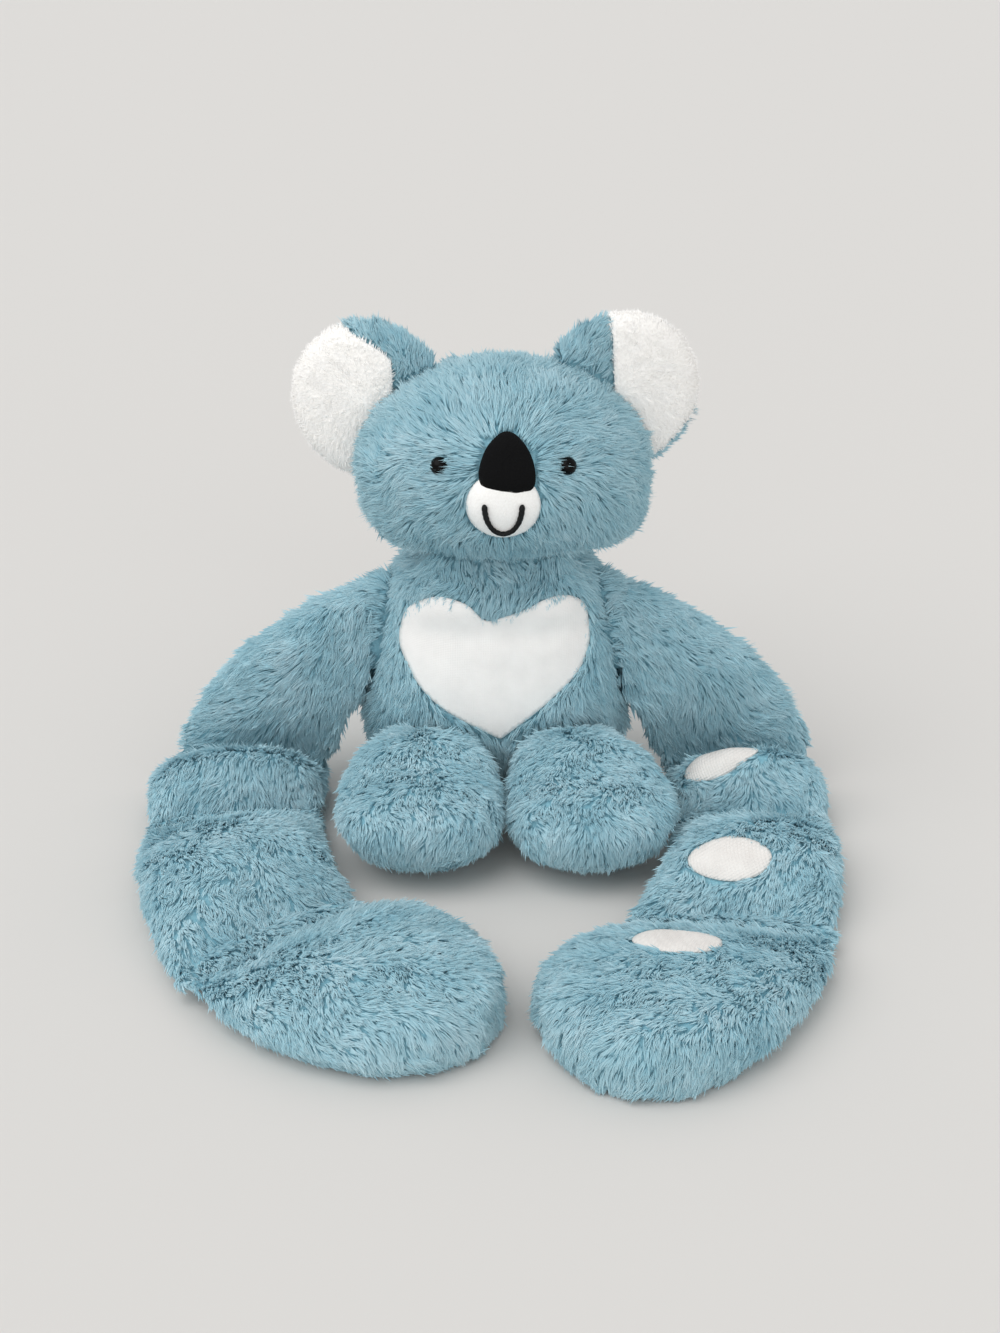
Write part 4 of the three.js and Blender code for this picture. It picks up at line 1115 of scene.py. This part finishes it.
def along(start, end, spread, fall=0.0):
    """Strands point along a line, and also away from it and down by shares."""
    start, end = np.array(start, float), np.array(end, float)
    line = unit(end - start)

    def ways(points):
        offset = points - start
        offset = offset - (offset @ line)[:, None] * line
        return line + spread * unit(offset) + np.array((0, 0, -fall))

    return ways


# %% [markdown]
# Each tuft roots on the backing cloth below its place, which a ray finds. The tuft has its own
# way, shade and length, and its strands differ a little from each other. Near a patch the tufts
# lean over its edge, and where they would cover it they are shorter.

# %% How a tuft meets the cloth and the patches
def depth_of_cloth(places, normals):
    """How far the backing cloth lies below each place."""
    depths = np.zeros(len(places))
    for i, (place, normal) in enumerate(zip(places, normals)):
        start = Vector(place) + 0.3 * MM * Vector(normal)
        hit = cloth_tree.ray_cast(start, -Vector(normal), 9 * MM)
        depths[i] = 0 if hit[0] is None else max(hit[3] - 0.3 * MM, 0)
    return depths


def lean_over_patch(name, places, normals, lie):
    """Near the edge of the patch, turn the way of the tufts towards its middle."""
    edging, centre = laps[name]
    for i, place in enumerate(places):
        near, _, _, far = edging.find_nearest(Vector(place), LAP)
        if near is not None:
            to_middle = tangent(centre[None] - place[None], normals[i : i + 1])[0]
            lie[i] = unit(lie[i] + 1.1 * (1 - far / LAP) * to_middle)


def reach_a_patch(name, places, normals, lie, long):
    """Which tufts would cover a patch with their tips."""
    over_patch = np.zeros(len(places), bool)
    for tree in patch_trees.get(name, []):
        for i in range(len(places)):
            ahead = Vector(places[i] + 0.7 * long[i] * lie[i] + 5 * MM * normals[i])
            over_patch[i] |= tree.ray_cast(ahead, -Vector(normals[i]), 14 * MM)[0] is not None
    return over_patch


# %% Tufts on a form
def tufts_on(
    name, brush, spacing, strands, length, material, width=0.62 * MM, keep=None, tilt=(0.7, 1.3),
    reach=1.5 * MM, pieces=1, label="pile", even=0.8, pressed=False,
):
    """Grow pile on a form, and return its pieces. Tilt is a strand's lean at its root and its tip,
    reach is a tuft's width at its roots, and even is how much the form's own slope shades it."""
    places, normals = scatter(forms[name], spacing)
    free = free_places(name, places, normals)
    if keep is not None:
        free &= keep(places, normals)
    places, normals = places[free], normals[free]
    inset = depth_of_cloth(places, normals)
    full = np.clip(inset / pile_depth(name), 0.6, 1)
    lie = tangent(brush(places), normals)
    if name in laps:
        lean_over_patch(name, places, normals, lie)
    # A broad wave and a small one turn the tufts, and shade them, and each differs a little
    swing = 0.42 * wave(places, 38 * MM, 3) + 0.3 * wave(places, 15 * MM, 4)
    swing += rng.normal(0, 0.13, len(places))
    lie = swung(lie, normals, swing)
    shade = 0.5 + 0.15 * wave(places, 40 * MM, 5) + 0.1 * wave(places, 9 * MM, 6)
    shade += rng.normal(0, 0.06, len(places))
    long = length * full * np.clip(rng.normal(1, 0.09, len(places)), 0.7, 1.25)
    lean = 0.1 * wave(places, 14 * MM, 7) + rng.normal(0, 0.06, len(places))

    # The strands of a tuft start apart and come together towards the tip
    each = np.repeat(np.arange(len(places)), strands)
    count = len(each)
    angle, far = rng.uniform(0, 2 * math.pi, count), reach * np.sqrt(rng.random(count))
    offset = (
        lie[each] * (far * np.cos(angle))[:, None]
        + np.cross(normals[each], lie[each]) * (far * np.sin(angle))[:, None]
    )
    root = places[each] + offset - normals[each] * (inset[each] + 0.6 * MM)[:, None]
    pull = 0.45 * offset / long[each][:, None]
    way = unit(lie[each] - pull + rng.normal(0, 0.09, (count, 3)))
    way = tangent(way, normals[each])
    turned = np.clip(tilt[0] + lean[each] + rng.normal(0, 0.08, count), 0.05, 1.2)
    tipped = np.clip(tilt[1] + lean[each] + rng.normal(0, 0.1, count), 0.3, 1.45)
    tone = np.clip(shade[each] + rng.normal(0, 0.06, count), 0.02, 0.98)
    sizes = long[each] * np.clip(rng.normal(1, 0.1, count), 0.7, 1.3)
    widths = width * np.clip(rng.normal(1, 0.15, count), 0.6, 1.4)
    # A few thin strays stand up
    stray = rng.random(count) < 0.035
    turned[stray] *= 0.6
    tipped[stray] *= 0.7
    widths[stray] *= 0.55
    sizes[reach_a_patch(name, places, normals, lie, long)[each]] *= 0.66
    made = []
    cut = np.quantile(places[:, 0], np.linspace(0, 1, pieces + 1)[1:-1])
    part_of = np.searchsorted(cut, places[:, 0])[each]
    blades = (root, normals[each], way, sizes, turned, tipped, widths, tone)
    for k in range(pieces):
        part = f"{name}_{label}" if pieces == 1 else f"{name}_{label}_{k + 1}"
        mine = [values[part_of == k] for values in blades]
        made.append(build_pile(part, *mine, material, even, pressed))
    return made


# %% [markdown]
# Arms and feet are handled most, so their pile is lower and flatter. What lies on the table has
# pile too, pressed flat against it. The rims of the ears are white, as their fronts are.

# %% Kinds of pile
PILE = dict(spacing=2.8 * MM, strands=7, length=12 * MM, material=plush)
LOW_PILE = dict(PILE, length=9 * MM, width=0.82 * MM, tilt=(0.85, 1.36), even=0.85)

nose_front = (3 * MM, -100 * MM, 245 * MM)
eye_places = [np.array((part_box(s + "_eye")[0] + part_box(s + "_eye")[1]) / 2) for s in SIDES]


def round_eyes(points, normals):
    """Not right over an eye."""
    clear = np.ones(len(points), bool)
    for eye in eye_places:
        clear &= np.linalg.norm(points - eye, axis=1) > 2.6 * MM
    return clear


def off_the_table(points, normals):
    """Not where the form lies on the table."""
    return (points[:, 2] > 2.5 * MM) | (normals[:, 2] > -0.8)


def under_it(points, normals):
    """On the underside, close to the table."""
    return (points[:, 2] < 5 * MM) & (normals[:, 2] < -0.6)


def rim_of_ear(side):
    """A test for the ear's white rim: its edge, over the angles that the panel spans."""
    disc, front, aside = (np.array(v) for v in ear_frames[side])

    def keep(points, normals):
        off = points - disc
        flat = off - (off @ front)[:, None] * front
        facing = normals @ front
        rim = np.linalg.norm(flat, axis=1) > np.where(facing > -0.7, 38, 43) * MM
        turn = np.degrees(np.arctan2(flat[:, 2], SIDES[side] * (flat @ aside)))
        white = (turn > EAR_RIM[side][0] - 4) & (turn < EAR_RIM[side][1] + 4)
        return rim & (facing > -0.96) & white

    return keep


def blue_of_ear(side):
    """The rest of the ear."""
    rim = rim_of_ear(side)
    return lambda points, normals: ~rim(points, normals)


# The line that each pocket is brushed along, in millimetres on the left side
ARM_LINE = {
    "shoulder": ((60, 0, 140), (170, -10, 20)),
    "upper": ((162, -23, 20), (163, -98, 20)),
    "lower": ((178, -120, 20), (112, -220, 20)),
    "paw": ((150, -262, 20), (20, -335, 15)),
}
SOLE_PILE = dict(
    keep=under_it, spacing=4.4 * MM, strands=6, length=12 * MM, width=1.3 * MM, tilt=(1.15, 1.5),
    reach=3 * MM, material=plush, even=0.9, pressed=True, label="sole_pile",
)

# %% [markdown]
# Now the fur grows: first on head and body, then on each ear, foot and arm, and last underneath.

# %% Grow the fur
piles, rims = {}, {}
piles["head"] = tufts_on("head", away_from(nose_front, 0.1), keep=round_eyes, pieces=2, **PILE)
neck = (0, 0, 230 * MM)
piles["torso"] = tufts_on("torso", away_from(neck, 0.6), keep=off_the_table, pieces=2, **PILE)
for side, sign in SIDES.items():
    disc = ear_frames[side][0]
    inner = away_from(disc - Vector((sign * 40 * MM, 0, 20 * MM)))
    piles[side + "_ear"] = tufts_on(
        side + "_ear", inner, keep=blue_of_ear(side),
        spacing=2.6 * MM, strands=7, length=10 * MM, material=plush,
    )
    rims[side] = tufts_on(
        side + "_ear", away_from(disc), keep=rim_of_ear(side), spacing=1.9 * MM, strands=6,
        length=7 * MM, material=white_plush, label="rim_pile",
    )
    low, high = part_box(side + "_leg_skin")
    hip = Vector(((low.x + high.x) / 2, high.y, high.z + 20 * MM))
    name = side + "_leg"
    piles[name] = tufts_on(name, away_from(hip, 0.3), keep=off_the_table, **LOW_PILE)
    for pocket in POCKETS:
        name = f"{side}_{pocket}"
        start, end = ARM_LINE[pocket]
        mirror = np.array((sign, 1, 1)) * MM
        brush = along(start * mirror, end * mirror, 0.4, 0.5)
        kind = PILE if pocket == "shoulder" else LOW_PILE
        piles[name] = tufts_on(name, brush, keep=off_the_table, **kind)
    for name in [f"{side}_seam_{k + 1}" for k in range(3)] + [side + "_shoulder_seam"]:
        before, after = bends[name][2:]
        brush = along(before, after, 0.2)
        kind = PILE if "shoulder" in name else LOW_PILE
        piles[name] = tufts_on(name, brush, keep=off_the_table, **kind)
piles["torso"] += tufts_on("torso", away_from(neck), **SOLE_PILE)
for side, sign in SIDES.items():
    for name in [side + "_leg"] + [f"{side}_{pocket}" for pocket in POCKETS[1:]]:
        far = (sign * 20 * MM, -900 * MM, 0)
        piles[name] += tufts_on(name, away_from(far), **SOLE_PILE)
print("strands:", sum(len(p.data.vertices) for group in piles.values() for p in group) // 4)

# %% [markdown]
# The ear fronts and the muzzle are short white plush: the same blades, only a few millimetres
# long.

# %% Short white pile
def short_pile(name, cloth, front, spacing, length, brush):
    """Short white pile on the front of a patch."""
    places, normals = scatter(cloth, spacing)
    facing = (normals @ np.array(front)) > -0.15
    places, normals = places[facing], normals[facing]
    swing = 0.5 * wave(places, 12 * MM, 8) + rng.normal(0, 0.5, len(places))
    lie = swung(tangent(brush(places), normals), normals, swing)
    count = len(places)
    root = places - 0.8 * MM * normals
    long = length * rng.uniform(0.75, 1.25, count)
    root_tilt, tip_tilt = rng.uniform(0.3, 0.9, count), rng.uniform(0.8, 1.35, count)
    width = 0.55 * MM * rng.uniform(0.8, 1.2, count)
    tone = np.clip(0.5 + 0.2 * wave(places, 10 * MM, 9) + rng.normal(0, 0.12, count), 0.02, 0.98)
    return build_pile(
        name, root, normals, lie, long, root_tilt, tip_tilt, width, tone, white_plush, even=0.85
    )


white_piles = {}
for side in SIDES:
    disc, front, _ = ear_frames[side]
    white_piles[side + "_ear"] = short_pile(
        side + "_ear_front_pile", ears[side], front, 1.15 * MM, 4.2 * MM, away_from(disc)
    )
white_piles["muzzle"] = short_pile(
    "muzzle_pile", muzzle, (0, -1, 0), 1.0 * MM, 1.8 * MM, away_from(nose_front, 0.5)
)
print("white strands:", sum(len(p.data.vertices) for p in white_piles.values()) // 4)

# %% [markdown]
# ## Smile and eyes
# The smile is a row of back stitches in thick thread. Each stitch is a short fat spindle that is
# pulled into the cloth at both ends, and each starts where the one before it ends.

# %% Smile
low, high, ahead = front_of("smile_stitch")
muzzle_tree = tree_of(muzzle)
smile_half = (high.x - low.x) / 2 - 1 * MM
smile_deep = high.z - low.z + 0.3 * MM
path = []
for k in range(61):
    turn = math.pi * (1 + k / 60)
    across, up = smile_half * math.cos(turn), smile_deep * math.sin(turn)
    path.append((ahead.x + across, high.z + 1.3 * MM + up))
lengths = np.concatenate([[0], np.cumsum([math.dist(a, b) for a, b in zip(path, path[1:])])])
stitch_count = 15
stitches = []
for k in range(stitch_count):
    ends = []
    for share in (k / stitch_count - 0.012, (k + 1) / stitch_count + 0.012):
        far = min(max(share, 0), 1) * lengths[-1]
        x = np.interp(far, lengths, [p[0] for p in path])
        z = np.interp(far, lengths, [p[1] for p in path])
        hit = muzzle_tree.ray_cast(Vector((x, -150 * MM, z)), Vector((0, 1, 0)), 0.2)
        ends.append(hit[0] + 1.3 * MM * hit[1])
    span = ends[1] - ends[0]
    stitch = new_sphere("stitch", 8, 8)
    stitch.scale = (2.1 * MM, 1.6 * MM, span.length / 2 + 1 * MM)
    settle(stitch, span.to_track_quat("Z", "Y"), (ends[0] + ends[1]) / 2)
    stitches.append(stitch)
only(*stitches)
bpy.ops.object.join()
smile = bpy.context.object
smile.name = "smile"
finish_surface(smile, thread)
print("smile stitches:", stitch_count, "over", round(lengths[-1] / MM, 1), "mm")

# %% [markdown]
# A safety eye is a glossy moulded dome with a flat back and a stem that goes through the cloth
# into its washer. The dome is a flattened sphere cut off at its base, and the stem is drawn out
# of the cut.

# %% Eyes
EYE_RADIUS = 5.5 * MM
EYE_FLATTER = 0.82  # the dome's height as a share of half a ball's
EYE_DEPTH = 7 * MM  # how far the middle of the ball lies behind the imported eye's tip
eyes = {}
for side in SIDES:
    low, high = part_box(side + "_eye")
    washer_low, washer_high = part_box(side + "_eye_washer")
    rows = points_of(frame["nodes"][side + "_eye"])
    washer = (washer_low + washer_high) / 2
    out = Vector(unit(np.array((low + high) / 2 - washer)))
    tip = Vector(rows[np.argmax(rows @ np.array(out))])
    eye = new_sphere(side + "_eye_dome", 32, 20, EYE_RADIUS)
    bpy.ops.object.mode_set(mode="EDIT")
    bpy.ops.mesh.select_all(action="SELECT")
    bpy.ops.mesh.bisect(plane_co=(0, 0, -0.8 * MM), plane_no=(0, 0, 1), clear_inner=True)
    bpy.ops.mesh.edge_face_add()
    bpy.ops.mesh.inset(thickness=3.5 * MM)
    bpy.ops.mesh.extrude_region_move(TRANSFORM_OT_translate={"value": (0, 0, -13 * MM)})
    bpy.ops.mesh.select_all(action="SELECT")
    bpy.ops.mesh.normals_make_consistent(inside=False)
    bpy.ops.object.mode_set(mode="OBJECT")
    rows = points_of(eye)
    rows[rows[:, 2] > 0, 2] *= EYE_FLATTER
    move_points(eye, rows)
    settle(eye, out.to_track_quat("Z", "Y"), tip - EYE_DEPTH * out)
    bpy.ops.object.shade_smooth_by_angle(angle=math.radians(40))
    eye.data.materials.append(eye_plastic)
    frame["nodes"][side + "_eye_washer"].data.materials.clear()
    frame["nodes"][side + "_eye_washer"].data.materials.append(washer_plastic)
    eyes[side] = eye
    print(side, "eye faces", tuple(round(c, 2) for c in out))

# %% [markdown]
# ## Fillings
# Inside are lumps of loose fibre in the torso, head and legs, and bags of beads in the arm
# pockets. They are remeshed and given an uneven surface, as hand-filled fibre and beads in a bag
# have.

# %% Fibre and bead bags
UNDER_CLOTH = 1.5 * MM


def filling(name, node, cloth, grain, lumps, material):
    """A filling with an uneven surface, kept under its backing cloth."""
    piece = copy_of(name, node)
    uneven = bpy.data.textures.new(name + " lumps", "CLOUDS")
    uneven.noise_scale = 4 * grain
    add_modifier(piece, "REMESH", mode="VOXEL", voxel_size=grain)
    add_modifier(piece, "DISPLACE", texture=uneven, strength=lumps, mid_level=1.0)
    apply_modifiers(piece)
    tree = tree_of(backings[cloth])
    rows = points_of(piece)
    for row in rows:
        place, way, _, _ = tree.find_nearest(Vector(row))
        if (Vector(row) - place).dot(way) > -UNDER_CLOTH:
            row[:] = place - UNDER_CLOTH * way
    move_points(piece, rows)
    finish_surface(piece, material)
    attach(piece, frame["nodes"][node]["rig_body"])
    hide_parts(node)
    return piece


fillings = [
    filling(name + "_fibre", name + "_fill", name, 5 * MM, 3 * MM, fibrefill)
    for name in ("torso", "head", "right_leg", "left_leg")
]
for side in SIDES:
    for pocket in POCKETS:
        name = f"{side}_{pocket}"
        fillings.append(
            filling(name + "_bag", name + "_beads", name, 3 * MM, 1.2 * MM, bead_bag)
        )
print("fillings:", len(fillings))

# %% [markdown]
# ## Pieces ride on their bodies
# A piece moves with the imported body that carries it, and hides the imported solid that it stands
# for. The bolsters' backings and pile stay where they are, on no body.

# %% Ride and replace
def belongs(piece, body, slot_name, *nodes):
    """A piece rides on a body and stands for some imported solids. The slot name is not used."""
    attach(piece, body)
    if nodes:
        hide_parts(*nodes)


for name in backings:
    for piece in [backings[name], *piles[name]]:
        if name in bends:
            body, other, start, end = bends[name]
            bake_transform(piece)
        else:
            belongs(piece, name, "fur", name + ("_back" if name.endswith("_ear") else "_skin"))
belongs(heart, "torso", "cotton", "heart_patch")
belongs(nose, "head", "felt", "nose_patch")
belongs(muzzle, "head", "white_plush", "muzzle_patch")
belongs(white_piles["muzzle"], "head", "white_plush", "muzzle_patch")
belongs(smile, "head", "thread", "smile_stitch")
for side in SIDES:
    belongs(ears[side], side + "_ear", "white_plush", side + "_ear_panel")
    for piece in [white_piles[side + "_ear"], *rims[side]]:
        belongs(piece, side + "_ear", "white_plush", side + "_ear_panel")
    belongs(eyes[side], "head", "eye", side + "_eye")
for pocket, pad in pads.items():
    belongs(pad, "left_" + pocket, "cotton", f"left_{pocket}_pad")
for form in forms.values():
    bpy.data.objects.remove(form, do_unlink=True)

# %% [markdown]
# ## Floor, light and camera
# The floor is plain and pale. The light is a soft studio light from above and in front, at a
# level where a colour renders about as it is written. The camera looks down by 24 degrees, as the
# photograph's does.

# %% Floor and sky
bpy.ops.object.select_all(action="DESELECT")
bpy.ops.mesh.primitive_plane_add(size=12)
floor = bpy.context.object
floor.name = "floor"
floor_paint, floor_shader = start_material("pale floor", Roughness=0.9)
floor_shader.inputs["Base Color"].default_value = linear("#D6D4D1")
floor.data.materials.append(floor_paint)
floor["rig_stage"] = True

world = bpy.data.worlds.new("studio")
bpy.context.scene.world = world
world.use_nodes = True
sky = world.node_tree.nodes["Background"]
sky.inputs["Color"].default_value = linear("#FFFFFF")
sky.inputs["Strength"].default_value = 0.71

# %% Lamps
def sun(name, way, softness, strength):
    """A far soft lamp. The way is where its light comes from."""
    light = bpy.data.lights.new(name, "SUN")
    light.angle = math.radians(softness)
    light.energy = strength
    holder = bpy.data.objects.new(name, light)
    bpy.context.scene.collection.objects.link(holder)
    holder.rotation_euler = Vector(way).to_track_quat("Z", "Y").to_euler()
    return holder


sun("key", (-0.7, -0.45, 1.15), 60, 1.2)
sun("front", (0.1, -1.0, 0.12), 60, 0.95)

# %% Camera
camera = bpy.data.objects.new("camera", bpy.data.cameras.new("camera"))
bpy.context.scene.collection.objects.link(camera)
camera.location = (3 * MM, -1265.9 * MM, 640.9 * MM)
camera.rotation_euler = (math.radians(66), 0, 0)
camera.data.lens = 56.25
camera.data.sensor_width = 36
camera.data.clip_start = 0.05
camera.data.clip_end = 50
bpy.context.scene.camera = camera
bpy.context.scene.view_settings.view_transform = "Standard"

# %% Sizes
dressed_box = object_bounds()
for end, before, after in zip(("low", "high"), cad_box, dressed_box):
    print(end, "corner moves by, in mm:", [round((b - a) / MM, 1) for a, b in zip(before, after)])
